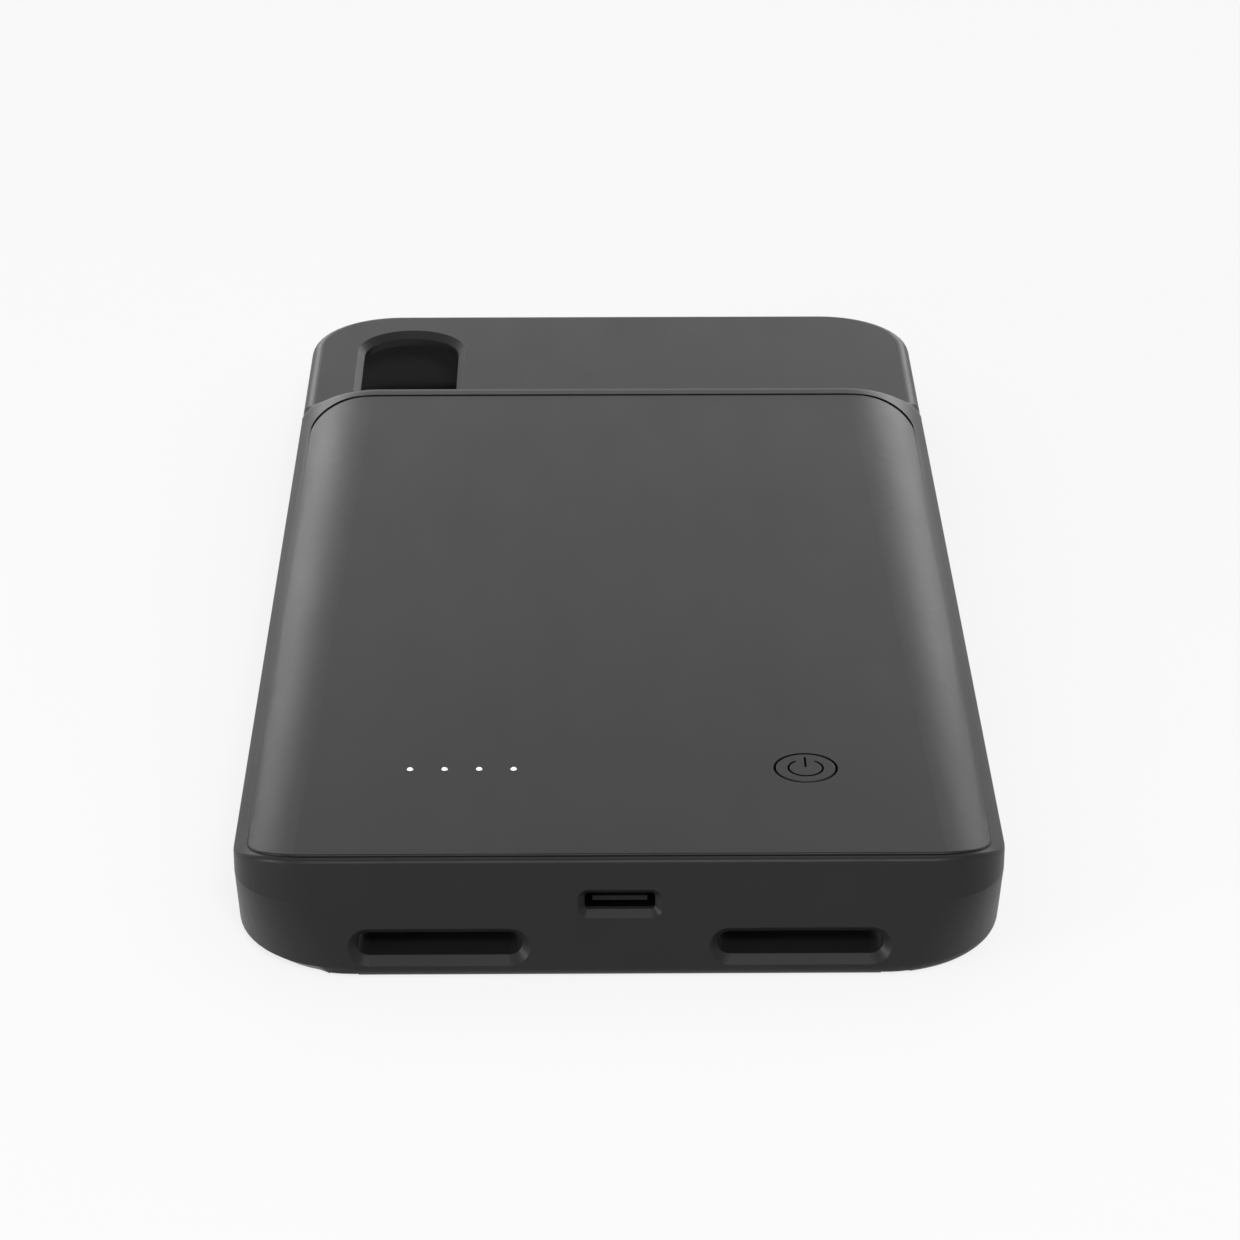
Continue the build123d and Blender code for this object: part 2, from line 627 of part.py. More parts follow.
def battery_cover():
    """The hump's shell with its button hole, light holes, port notch and tabs."""
    hump = hump_form(0)
    outline = prism(cover_outline(0), TRAY_TOP, HUMP_TOP + BEYOND)
    outer = hump & outline
    outer = fillet(new_edges(hump, outline, combined=outer), COVER_EDGE_RADIUS)
    room = hump_form(COVER_WALL) & prism(cover_outline(COVER_WALL), FORM_FOOT, HUMP_TOP)
    cover = outer - room
    cover -= port_surround(TAB_CLEARANCE, BOARD_NEAR)
    hole_depth = 2 * COVER_WALL
    hole = Cylinder(BUTTON_DIAMETER / 2 + BUTTON_GAP, hole_depth)
    cover -= Pos(BUTTON_OFFSET, LIGHT_ROW, COVER_UNDERSIDE + COVER_WALL / 2) * hole
    for x, y in light_places():
        hole = Cylinder(LIGHT_DIAMETER / 2 + LIGHT_CLEARANCE, hole_depth)
        cover -= Pos(x, y, COVER_UNDERSIDE + COVER_WALL / 2) * hole
    for x, y in tab_places():
        cover += Pos(x, y, TRAY_TOP - TAB_DROP / 2) * Box(TAB_WIDTH, TAB_LENGTH, TAB_DROP)
    return cover


def power_button():
    """The round power button: cap, flange under the cover and stem on the switch."""
    x = BUTTON_OFFSET
    cap_bottom = COVER_UNDERSIDE - BUTTON_PLAY
    cap_height = HUMP_TOP - cap_bottom
    cap = Pos(x, LIGHT_ROW, cap_bottom + cap_height / 2) * Cylinder(BUTTON_DIAMETER / 2, cap_height)
    cap = fillet(cap.edges().group_by(Axis.Z)[-1], BUTTON_EDGE_RADIUS)
    flange_radius = BUTTON_DIAMETER / 2 + BUTTON_FLANGE_MARGIN
    flange = Pos(x, LIGHT_ROW, cap_bottom - BUTTON_FLANGE / 2) * Cylinder(flange_radius, BUTTON_FLANGE)
    stem_bottom = BOARD_TOP + SWITCH_HEIGHT + PLUNGER_PROUD
    stem_height = cap_bottom - stem_bottom
    stem = Pos(x, LIGHT_ROW, stem_bottom + stem_height / 2) * Cylinder(BUTTON_STEM / 2, stem_height)
    return cap + flange + stem


def switch_body():
    """The tact switch's housing, open above its plunger."""
    housing = Box(SWITCH_SIZE, SWITCH_SIZE, SWITCH_HEIGHT)
    housing = chamfer(housing.edges().filter_by(Axis.Z), SWITCH_BEVEL)
    housing -= Cylinder(PLUNGER_DIAMETER / 2 + PLUNGER_CLEARANCE, 2 * SWITCH_HEIGHT)
    return Pos(BUTTON_OFFSET, LIGHT_ROW, BOARD_TOP + SWITCH_HEIGHT / 2) * housing


def switch_plunger():
    """The tact switch's plunger, which the button's stem rests on."""
    height = PLUNGER_DEPTH + PLUNGER_PROUD
    top = BOARD_TOP + SWITCH_HEIGHT + PLUNGER_PROUD
    return Pos(BUTTON_OFFSET, LIGHT_ROW, top - height / 2) * Cylinder(PLUNGER_DIAMETER / 2, height)


def light_guide():
    """The clear bar under the cover with four domed pins through it."""
    pitch_span = (LIGHT_COUNT - 1) * LIGHT_PITCH
    bar = Box(pitch_span + LIGHT_BAR_WIDTH, LIGHT_BAR_WIDTH, LIGHT_BAR_THICKNESS)
    guide = Pos(-LIGHT_ROW_OFFSET, LIGHT_ROW, COVER_UNDERSIDE - LIGHT_BAR_THICKNESS / 2) * bar
    radius = LIGHT_DIAMETER / 2
    dome_radius = (radius**2 + LIGHT_DOME**2) / (2 * LIGHT_DOME)
    dome = Pos(0, 0, LIGHT_DOME - dome_radius) * Sphere(dome_radius)
    dome &= Pos(0, 0, LIGHT_DOME / 2) * Cylinder(dome_radius, LIGHT_DOME)
    pin = Pos(0, 0, -COVER_WALL / 2) * Cylinder(radius, COVER_WALL) + dome
    foot_drop = COVER_UNDERSIDE - LIGHT_BAR_THICKNESS - (BOARD_TOP + LED_HEIGHT)
    foot_top = HUMP_TOP - COVER_WALL - LIGHT_BAR_THICKNESS
    foot = Cylinder(radius, foot_drop)
    for x, y in light_places():
        guide += Pos(x, y, HUMP_TOP) * pin
        guide += Pos(x, y, foot_top - foot_drop / 2) * foot
    return guide


def status_leds():
    """The four light chips on the board, one under each pin."""
    chip = Box(LED_LENGTH, LED_WIDTH, LED_HEIGHT)
    return [Pos(x, y, BOARD_TOP + LED_HEIGHT / 2) * chip for x, y in light_places()]


def control_board():
    """The control board over the tray and the chin."""
    outline = Pos(0, BOARD_MIDDLE) * RectangleRounded(BOARD_WIDTH, BOARD_LENGTH, BOARD_CORNER)
    board = prism(outline, BOARD_BOTTOM, BOARD_TOP)
    for x, y in screw_places():
        hole = Cylinder(SCREW_DIAMETER / 2 + SCREW_CLEARANCE, 2 * BOARD_THICKNESS)
        board -= Pos(x, y, BOARD_BOTTOM + BOARD_THICKNESS / 2) * hole
    return board


def board_screws():
    """The two screws that hold the control board to the chin."""
    shank = Pos(0, 0, -SCREW_LENGTH / 2) * Cylinder(SCREW_DIAMETER / 2, SCREW_LENGTH)
    head = Pos(0, 0, SCREW_HEAD_HEIGHT / 2) * Cylinder(SCREW_HEAD_DIAMETER / 2, SCREW_HEAD_HEIGHT)
    head = chamfer(head.edges().group_by(Axis.Z)[-1], SCREW_HEAD_BEVEL)
    for turn in (0, 90):
        groove = Rot(0, 0, turn) * Box(SCREW_DRIVE_LENGTH, SCREW_DRIVE_WIDTH, 2 * SCREW_DRIVE_DEPTH)
        head -= Pos(0, 0, SCREW_HEAD_HEIGHT) * groove
    screw = shank + head
    return [Pos(x, y, BOARD_TOP) * screw for x, y in screw_places()]


def control_chips():
    """The charger and step-up chips on the control board."""
    chip = Box(CHIP_LONG, CHIP_SHORT, CHIP_HEIGHT)
    chip = chamfer(chip.edges().group_by(Axis.Z)[-1], CHIP_BEVEL)
    level = BOARD_TOP + CHIP_HEIGHT / 2
    return [Pos(side * CHIP_SPACING / 2, BOARD_MIDDLE, level) * chip for side in (-1, 1)]


def boost_inductor():
    """The square step-up inductor with its rounded corners."""
    outline = Pos(0, LIGHT_ROW) * RectangleRounded(INDUCTOR_SIZE, INDUCTOR_SIZE, INDUCTOR_CORNER)
    return prism(outline, BOARD_TOP, BOARD_TOP + INDUCTOR_HEIGHT)


def board_capacitors():
    """A row of small capacitors beside the inductor."""
    body = Box(CAPACITOR_WIDTH, CAPACITOR_LENGTH, CAPACITOR_HEIGHT)
    first = INDUCTOR_SIZE / 2 + CAPACITOR_SPACING / 2
    level = BOARD_TOP + CAPACITOR_HEIGHT / 2
    row = [first + index * CAPACITOR_SPACING for index in range(CAPACITOR_COUNT)]
    return [Pos(x, LIGHT_ROW, level) * body for x in row]


def socket_shell():
    """The charging socket's folded metal shell, with four legs up to the control board."""
    outer = RectangleRounded(SOCKET_WIDTH, SOCKET_HEIGHT, SOCKET_CORNER)
    inner_width = SOCKET_WIDTH - 2 * SOCKET_WALL
    inner_height = SOCKET_HEIGHT - 2 * SOCKET_WALL
    inner = RectangleRounded(inner_width, inner_height, SOCKET_CORNER - SOCKET_WALL)
    shell = extrude(cross_plane(SOCKET_FAR) * Pos(0, PORT_LEVEL) * (outer - inner), SOCKET_DEPTH)
    x = SOCKET_WIDTH / 2 - SOCKET_CORNER - SOCKET_LEG_WIDTH / 2
    leg_bottom = BOARD_BOTTOM - SOCKET_DROP - SOCKET_WALL / 2
    leg = Box(SOCKET_LEG_WIDTH, SOCKET_LEG_LENGTH, BOARD_BOTTOM - leg_bottom)
    for side in (-1, 1):
        for y in (BOARD_NEAR + SOCKET_LEG_LENGTH, SOCKET_FAR - SOCKET_LEG_LENGTH):
            shell += Pos(side * x, y, (leg_bottom + BOARD_BOTTOM) / 2) * leg
    return shell


def socket_tongue():
    """The insulator that closes the shell's back and carries the contacts."""
    inner_width = SOCKET_WIDTH - 2 * SOCKET_WALL
    inner_height = SOCKET_HEIGHT - 2 * SOCKET_WALL
    back = RectangleRounded(inner_width, inner_height, SOCKET_CORNER - SOCKET_WALL)
    tongue = extrude(cross_plane(SOCKET_FAR) * Pos(0, PORT_LEVEL) * back, SOCKET_BACK)
    half = TONGUE_WIDTH / 2
    levels = (PORT_LEVEL - TONGUE_THICKNESS / 2, PORT_LEVEL + TONGUE_THICKNESS / 2)
    return tongue + block((-half, half), (SOCKET_NEAR + TONGUE_SETBACK, SOCKET_FAR - SOCKET_BACK), levels)


def socket_contacts():
    """The contact strips under the socket's tongue."""
    top = PORT_LEVEL - TONGUE_THICKNESS / 2
    first = -(CONTACT_COUNT - 1) / 2 * CONTACT_PITCH
    strips = []
    for index in range(CONTACT_COUNT):
        x = first + index * CONTACT_PITCH
        x_range = (x - CONTACT_WIDTH / 2, x + CONTACT_WIDTH / 2)
        y_range = (SOCKET_NEAR + 2 * TONGUE_SETBACK, SOCKET_FAR - SOCKET_BACK)
        strips.append(block(x_range, y_range, (top - CONTACT_THICKNESS, top)))
    return strips


def plug_housing():
    """The plug's moulded foot, in the wall between chin and pocket."""
    half = PLUG_WIDTH / 2
    levels = (MID_PHONE - PLUG_HEIGHT / 2, PLUG_TOP)
    housing = block((-half, half), (POCKET_NEAR - PLUG_INSIDE, POCKET_NEAR), levels)
    return fillet(housing.edges().filter_by(Axis.Y), PLUG_FOOT_RADIUS)


def plug_tab():
    """The flat metal tab that goes into the telephone, with a bevelled tip."""
    section = RectangleRounded(PLUG_TAB_WIDTH, PLUG_TAB_THICKNESS, PLUG_TAB_RADIUS)
    tab = extrude(cross_plane(POCKET_NEAR) * Pos(0, MID_PHONE) * section, -PLUG_TAB_LENGTH)
    return chamfer(tab.faces().sort_by(Axis.Y)[-1].edges(), PLUG_TIP_BEVEL)


def plug_contacts():
    """The flat contacts on the tab's upper face."""
    top = MID_PHONE + PLUG_TAB_THICKNESS / 2
    first = -(PLUG_CONTACT_COUNT - 1) / 2 * PLUG_CONTACT_PITCH
    far = POCKET_NEAR + PLUG_TAB_LENGTH - PLUG_TAB_THICKNESS
    contacts = []
    for index in range(PLUG_CONTACT_COUNT):
        x = first + index * PLUG_CONTACT_PITCH
        x_range = (x - PLUG_CONTACT_WIDTH / 2, x + PLUG_CONTACT_WIDTH / 2)
        contacts.append(block(x_range, (far - PLUG_CONTACT_LENGTH, far), (top, top + PLUG_CONTACT_PROUD)))
    return contacts


def chin_board():
    """The plug's small board, on top of the plug's foot."""
    half = CHIN_POCKET_WIDTH / 2 - CHIN_BOARD_GAP
    y_range = (CHIN_POCKET_NEAR + CHIN_BOARD_GAP, CHIN_POCKET_FAR - CHIN_BOARD_GAP)
    return block((-half, half), y_range, (PLUG_TOP, CHIN_BOARD_TOP))


def link_row():
    """The places of the link's pins along the chin pocket."""
    middle = (CHIN_POCKET_NEAR + CHIN_POCKET_FAR) / 2
    first = middle - (LINK_PIN_COUNT - 1) / 2 * LINK_PIN_PITCH
    return [first + index * LINK_PIN_PITCH for index in range(LINK_PIN_COUNT)]


def board_link():
    """The insulating block between the chin board and the control board."""
    middle = (CHIN_POCKET_NEAR + CHIN_POCKET_FAR) / 2
    x_range = (LINK_OFFSET - LINK_WIDTH / 2, LINK_OFFSET + LINK_WIDTH / 2)
    y_range = (middle - LINK_DEPTH / 2, middle + LINK_DEPTH / 2)
    link = block(x_range, y_range, (CHIN_BOARD_TOP, BOARD_BOTTOM))
    height = BOARD_BOTTOM - CHIN_BOARD_TOP
    for y in link_row():
        hole = Box(LINK_PIN, LINK_PIN, 2 * height)
        link -= Pos(LINK_OFFSET, y, CHIN_BOARD_TOP + height / 2) * hole
    return link


def link_pins():
    """The pins that join the two boards, inside the link block."""
    height = BOARD_BOTTOM - CHIN_BOARD_TOP
    pin = Box(LINK_PIN, LINK_PIN, height)
    return [Pos(LINK_OFFSET, y, CHIN_BOARD_TOP + height / 2) * pin for y in link_row()]


def battery_cell():
    """The flat pouch cell with its soft edges."""
    cell = Box(CELL_WIDTH, CELL_LENGTH, CELL_THICKNESS)
    cell = fillet(cell.edges(), CELL_EDGE)
    return Pos(0, CELL_MIDDLE, CELL_BOTTOM + CELL_THICKNESS / 2) * cell


def adhesive_pads():
    """The two strips that stick the cell to the tray."""
    x = CELL_WIDTH / 2 - ADHESIVE_MARGIN - ADHESIVE_WIDTH / 2
    strip = Box(ADHESIVE_WIDTH, CELL_LENGTH - 2 * ADHESIVE_MARGIN, ADHESIVE_THICKNESS)
    level = TRAY_TOP + ADHESIVE_THICKNESS / 2
    return [Pos(side * x, CELL_MIDDLE, level) * strip for side in (-1, 1)]


def protection_board():
    """The cell's narrow protection board, beside the control board."""
    board = Box(GUARD_BOARD_WIDTH, GUARD_BOARD_LENGTH, BOARD_THICKNESS)
    return Pos(0, GUARD_BOARD_MIDDLE, BOARD_BOTTOM + BOARD_THICKNESS / 2) * board


def cell_tabs():
    """The two metal tabs from the cell to its protection board."""
    tabs = []
    for side in (-1, 1):
        x = side * CELL_TAB_OFFSET
        x_range = (x - CELL_TAB_WIDTH / 2, x + CELL_TAB_WIDTH / 2)
        levels = (BOARD_TOP, BOARD_TOP + CELL_TAB_THICKNESS)
        tabs.append(block(x_range, (GUARD_BOARD_MIDDLE, CELL_NEAR), levels))
    return tabs


def lead(side):
    """One lead from the protection board to the control board."""
    radius = LEAD_DIAMETER / 2
    near = BOARD_FAR - LEAD_OVERLAP
    far = GUARD_BOARD_MIDDLE
    place = Plane(origin=(side * LEAD_OFFSET, far, BOARD_TOP + radius), z_dir=(0, -1, 0))
    return extrude(place * Circle(radius), far - near)


def all_parts():
    """Every piece of the case by its name."""
    parts = {
        "case_frame": case_frame(),
        "inner_tray": inner_tray(),
        "battery_cover": battery_cover(),
        "power_button": power_button(),
        "switch_body": switch_body(),
        "switch_plunger": switch_plunger(),
        "light_guide": light_guide(),
        "status_leds": status_leds(),
        "control_board": control_board(),
        "board_screws": board_screws(),
        "control_chips": control_chips(),
        "boost_inductor": boost_inductor(),
        "board_capacitors": board_capacitors(),
        "socket_shell": socket_shell(),
        "socket_tongue": socket_tongue(),
        "socket_contacts": socket_contacts(),
        "plug_housing": plug_housing(),
        "plug_tab": plug_tab(),
        "plug_contacts": plug_contacts(),
        "chin_board": chin_board(),
        "board_link": board_link(),
        "link_pins": link_pins(),
        "battery_cell": battery_cell(),
        "adhesive_pads": adhesive_pads(),
        "protection_board": protection_board(),
        "cell_tabs": cell_tabs(),
        "positive_lead": lead(1),
        "negative_lead": lead(-1),
    }
    for name, side, middle, length in keys():
        parts[name] = key_cap(side, middle, length)
    return parts


def main():
    """Writes each piece to its own file."""
    os.makedirs("parts", exist_ok=True)
    for name, shape in all_parts().items():
        solid = Compound(children=shape) if isinstance(shape, list) else shape
        export_step(solid, os.path.join("parts", f"{name}.step"))


if __name__ == "__main__":
    main()
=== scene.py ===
"""Dresses the battery charging case with its finishes, sign and seam fills, and sets up its studio."""

import logging
import math
from collections.abc import Iterator
from contextlib import contextmanager
from dataclasses import dataclass, field
from enum import Enum
from typing import Any, Union

import bpy
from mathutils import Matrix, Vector


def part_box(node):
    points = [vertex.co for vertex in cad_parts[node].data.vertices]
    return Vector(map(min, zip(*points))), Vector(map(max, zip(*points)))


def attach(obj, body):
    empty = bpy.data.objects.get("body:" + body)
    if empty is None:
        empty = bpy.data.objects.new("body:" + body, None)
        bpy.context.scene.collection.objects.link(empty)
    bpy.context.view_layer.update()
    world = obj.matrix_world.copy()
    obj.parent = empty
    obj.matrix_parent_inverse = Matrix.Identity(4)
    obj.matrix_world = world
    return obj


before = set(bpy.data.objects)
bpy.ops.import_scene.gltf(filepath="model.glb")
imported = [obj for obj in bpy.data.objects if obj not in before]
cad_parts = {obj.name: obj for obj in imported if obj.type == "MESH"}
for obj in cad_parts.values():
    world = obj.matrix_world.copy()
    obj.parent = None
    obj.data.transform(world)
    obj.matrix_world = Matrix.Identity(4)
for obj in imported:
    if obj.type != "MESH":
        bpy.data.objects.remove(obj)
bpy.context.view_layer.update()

LOG = logging.getLogger("battery_case")
MM = 0.001

Colour = tuple[float, float, float]
Point = tuple[float, float, float]
Number = Union[int, float]
Operand = Union["Term", Number]

WHITE: Colour = (1.0, 1.0, 1.0)
EVEN: Point = (1.0, 1.0, 1.0)
UP: Point = (0.0, 0.0, 1.0)
WELD = 0.001 * MM  # points nearer than this are one
FACING = 0.9  # the cosine past which a face looks along a direction


class Body(Enum):
    """The rigid bodies that pieces ride on."""

    CASE = "case"
    POWER_BUTTON = "power_button"


class Axis(Enum):
    """An axis of the row frame, by its place in a point."""

    X = 0
    Y = 1
    Z = 2


def shaded(colour: Colour, factor: float) -> Colour:
    """A colour made lighter or darker by a factor, at most white."""
    return tuple(min(1.0, channel * factor) for channel in colour)


class Term:
    """A number socket in a shader that takes part in Python arithmetic."""

    def __init__(self, graph: "Graph", socket: bpy.types.NodeSocket) -> None:
        """Wraps one output socket of a graph."""
        self.graph = graph
        self.socket = socket

    def math(self, operation: str, *terms: Operand) -> "Term":
        """Adds one Math node.

        Args:
            operation: the Math node's operation.
            terms: its inputs, in order.

        Returns:
            The node's result.
        """
        sockets = dict(enumerate(terms))
        node = self.graph.add("ShaderNodeMath", {"operation": operation}, sockets)
        return Term(self.graph, node.outputs[0])

    def __add__(self, other: Operand) -> "Term":
        """self + other."""
        return self.math("ADD", self, other)

    __radd__ = __add__

    def __sub__(self, other: Operand) -> "Term":
        """self - other."""
        return self.math("SUBTRACT", self, other)

    def __rsub__(self, other: Number) -> "Term":
        """other - self."""
        return self.math("SUBTRACT", other, self)

    def __mul__(self, other: Operand) -> "Term":
        """self * other."""
        return self.math("MULTIPLY", self, other)

    __rmul__ = __mul__

    def __gt__(self, other: Operand) -> "Term":
        """1 where self is greater than other."""
        return self.math("GREATER_THAN", self, other)

    def __lt__(self, other: Operand) -> "Term":
        """1 where self is less than other."""
        return self.math("LESS_THAN", self, other)

    def __abs__(self) -> "Term":
        """The size of self without its sign."""
        return self.math("ABSOLUTE", self)

    def repeat(self, period: Number) -> "Term":
        """Folds self into a wave between 0 and half a period."""
        return self.math("PINGPONG", self, period / 2)

    def either(self, other: "Term") -> "Term":
        """The greater of two masks."""
        return self.math("MAXIMUM", self, other)


class Graph:
    """A node tree with one way to add a node."""

    # A Mix node's sockets for colours.
    MIX_FACTOR, MIX_FIRST, MIX_SECOND, MIX_RESULT = 0, 6, 7, 2

    def __init__(self, tree: bpy.types.NodeTree) -> None:
        """Starts from an empty tree."""
        self.tree = tree
        tree.nodes.clear()

    def add(
        self,
        kind: str,
        settings: dict[str, Any] | None = None,
        sockets: dict[Any, Any] | None = None,
    ) -> bpy.types.Node:
        """Adds any node.

        Args:
            kind: the node's type.
            settings: what is set on the node first; stops fills a colour ramp.
            sockets: a value, a Term or another socket for each input, by name or index.

        Returns:
            The new node.
        """
        node = self.tree.nodes.new(kind)
        for name, value in (settings or {}).items():
            if name == "stops":
                self.fill_ramp(node.color_ramp, value)
            else:
                setattr(node, name, value)
        for key, value in (sockets or {}).items():
            self.feed(node.inputs[key], value)
        return node

    def feed(self, target: bpy.types.NodeSocket, value: Any) -> None:
        """Links a Term or a socket to an input, or sets a plain value on it."""
        if isinstance(value, Term):
            value = value.socket
        if isinstance(value, bpy.types.NodeSocket):
            self.tree.links.new(value, target)
        else:
            target.default_value = value

    @staticmethod
    def fill_ramp(ramp: bpy.types.ColorRamp, stops: list[tuple[float, Colour]]) -> None:
        """Gives a colour ramp its stops."""
        while len(ramp.elements) < len(stops):
            ramp.elements.new(1.0)
        for element, (place, colour) in zip(ramp.elements, stops):
            element.position = place
            element.color = (*colour, 1.0)

    def place(self) -> bpy.types.NodeSocket:
        """The surface point in the row frame, in metres."""
        return self.add("ShaderNodeTexCoord").outputs["Object"]

    def axis(self, axis: Axis) -> Term:
        """One coordinate of the surface point."""
        node = self.add("ShaderNodeSeparateXYZ", sockets={0: self.place()})
        return Term(self, node.outputs[axis.value])

    def scaled(self, factors: Point) -> bpy.types.NodeSocket:
        """The surface point with each coordinate times its own factor."""
        sockets = {"Vector": self.place(), "Scale": factors}
        return self.add("ShaderNodeMapping", sockets=sockets).outputs[0]

    def noise(self, grain: float, detail: float = 2.0, stretch: Point = EVEN) -> Term:
        """Noise from 0 to 1.

        Args:
            grain: the size of one cloud, in metres.
            detail: how many finer layers it has.
            stretch: a factor on each axis; a small one draws the clouds out along it.

        Returns:
            The noise.
        """
        sockets = {"Vector": self.scaled(stretch), "Scale": 1.0 / grain, "Detail": detail}
        return Term(self, self.add("ShaderNodeTexNoise", sockets=sockets).outputs[0])

    def tones(
        self, factor: Term, colour: Colour, dark: float, light: float, spread: float = 0.2,
    ) -> bpy.types.NodeSocket:
        """Runs one colour from a darker tone to a lighter one.

        Args:
            factor: a noise or a mix of noises, from 0 to 1.
            colour: the colour between the tones.
            dark: the factor of the darker tone.
            light: the factor of the lighter tone.
            spread: how far from the noise's middle each tone is reached.

        Returns:
            The colour.
        """
        middle = 0.5
        stops = [(middle - spread, shaded(colour, dark)), (middle + spread, shaded(colour, light))]
        return self.add("ShaderNodeValToRGB", {"stops": stops}, {0: factor}).outputs[0]

    @staticmethod
    def stray(middle: float, *noises: tuple[Term, float]) -> Term:
        """A value that strays evenly about its middle.

        Args:
            middle: the middle value.
            noises: each noise with the range that it adds.

        Returns:
            The value.
        """
        start = middle - sum(reach for _, reach in noises) / 2
        return sum((noise * reach for noise, reach in noises), start)

    def blend(self, factor: Term, first: Any, second: Any) -> bpy.types.NodeSocket:
        """Mixes two colours.

        Args:
            factor: 0 for the first colour and 1 for the second.
            first: a colour or a socket.
            second: a colour or a socket.

        Returns:
            The mixed colour.
        """
        colours = [(*c, 1.0) if isinstance(c, tuple) else c for c in (first, second)]
        sockets = {self.MIX_FACTOR: factor, self.MIX_FIRST: colours[0], self.MIX_SECOND: colours[1]}
        return self.add("ShaderNodeMix", {"data_type": "RGBA"}, sockets).outputs[self.MIX_RESULT]

    def bump(self, height: Term, depth: float, strength: float = 1.0) -> bpy.types.NodeSocket:
        """A normal from a height of 0 to 1, where 1 stands for a depth in metres."""
        sockets = {"Height": height, "Distance": depth, "Strength": strength}
        return self.add("ShaderNodeBump", sockets=sockets).outputs[0]

    def background_rays(self) -> Term:
        """1 for the rays that show the background: straight, mirrored and through clear pieces."""
        path = self.add("ShaderNodeLightPath")
        kinds = ("Camera", "Glossy", "Transmission")
        straight, mirrored, through = (Term(self, path.outputs[f"Is {kind} Ray"]) for kind in kinds)
        return straight.either(mirrored).either(through)

    def surface(self, sockets: dict[str, Any]) -> None:
        """Ends the tree in one Principled shader with these sockets."""
        shader = self.add("ShaderNodeBsdfPrincipled", sockets=sockets)
        self.add("ShaderNodeOutputMaterial", sockets={"Surface": shader.outputs[0]})


@dataclass(frozen=True)
class Finish:
    """What every finish has.

    Attributes:
        name: its name.
        colour: its main colour.
    """

    name: str
    colour: Colour

    def material(self) -> bpy.types.Material:
        """Makes the material once, under a name that no packed material has.

        Returns:
            The material with its nodes.
        """
        name = f"{self.name}_finish"
        material = bpy.data.materials.get(name)
        if material is None:
            material = bpy.data.materials.new(name)
            material.use_nodes = True
            self.draw(Graph(material.node_tree))
        return material

    def draw(self, graph: Graph) -> None:
        """Adds the finish's nodes to a graph."""
        raise NotImplementedError


@dataclass(frozen=True)
class MouldedPlastic(Finish):
    """Moulded plastic with a spark-eroded grain.

    Attributes:
        roughness: the middle of its roughness.
        grain: the size of one pit of the texture, in metres.
        depth: the depth of the texture, in metres.
        mottle: how far the colour strays, as a share.
        specular: its specular level.
        cloud: the size of one cloud of colour, in metres.
        cloud_share: the clouds' share of the colour; the pits have the rest.
        spread: how far from the middle the two tones are reached.
        flow: the size of one flow mark, in metres.
        flow_stretch: the factors that draw the flow marks out along Y.
        flow_reach: how far the flow marks move the roughness.
        pit_reach: how far the pits move it.
    """

    roughness: float = 0.42
    grain: float = 0.16 * MM
    depth: float = 0.004 * MM
    mottle: float = 0.10
    specular: float = 0.18
    cloud: float = 14 * MM
    cloud_share: float = 0.6
    spread: float = 0.15
    flow: float = 5 * MM
    flow_stretch: Point = (1.0, 0.3, 1.0)
    flow_reach: float = 0.06
    pit_reach: float = 0.05

    def draw(self, graph: Graph) -> None:
        """A clouded colour, a roughness that strays a little, and a fine grain in the normal."""
        clouds = graph.noise(self.cloud, detail=3.0)
        pits = graph.noise(self.grain)
        marks = graph.noise(self.flow, stretch=self.flow_stretch)
        shade = clouds * self.cloud_share + pits * (1.0 - self.cloud_share)
        dark, light = 1.0 - self.mottle, 1.0 + self.mottle
        graph.surface({
            "Base Color": graph.tones(shade, self.colour, dark, light, self.spread),
            "Roughness": graph.stray(self.roughness, (marks, self.flow_reach), (pits, self.pit_reach)),
            "Specular IOR Level": self.specular,
            "Normal": graph.bump(pits, self.depth),
        })


@dataclass(frozen=True)
class PlatedMetal(Finish):
    """Pressed or plated metal with fine drawing lines.

    Attributes:
        roughness: the middle of its roughness.
        along: the axis that the lines run along.
        drawn: the factor that draws the lines out along it.
        line: the width of one line, in metres.
        line_share: the lines' share of the colour; the stains have the rest.
        line_reach: how far the lines move the roughness.
        line_depth: the depth of the lines, in metres.
        stain: the size of one stain, in metres.
        stain_reach: how far the stains move the roughness.
        dark: the factor of the darker tone.
        light: the factor of the lighter tone.
    """

    roughness: float = 0.28
    along: Axis = Axis.Y
    drawn: float = 0.04
    line: float = 0.08 * MM
    line_share: float = 0.5
    line_reach: float = 0.10
    line_depth: float = 0.002 * MM
    stain: float = 1.2 * MM
    stain_reach: float = 0.08
    dark: float = 0.82
    light: float = 1.08

    def draw(self, graph: Graph) -> None:
        """Lines drawn out along one axis, in colour, roughness and normal."""
        stretch = tuple(self.drawn if axis is self.along else 1.0 for axis in Axis)
        lines = graph.noise(self.line, stretch=stretch)
        stains = graph.noise(self.stain, detail=3.0)
        shade = lines * self.line_share + stains * (1.0 - self.line_share)
        graph.surface({
            "Base Color": graph.tones(shade, self.colour, self.dark, self.light),
            "Metallic": 1.0,
            "Roughness": graph.stray(self.roughness, (lines, self.line_reach), (stains, self.stain_reach)),
            "Normal": graph.bump(lines, self.line_depth),
        })


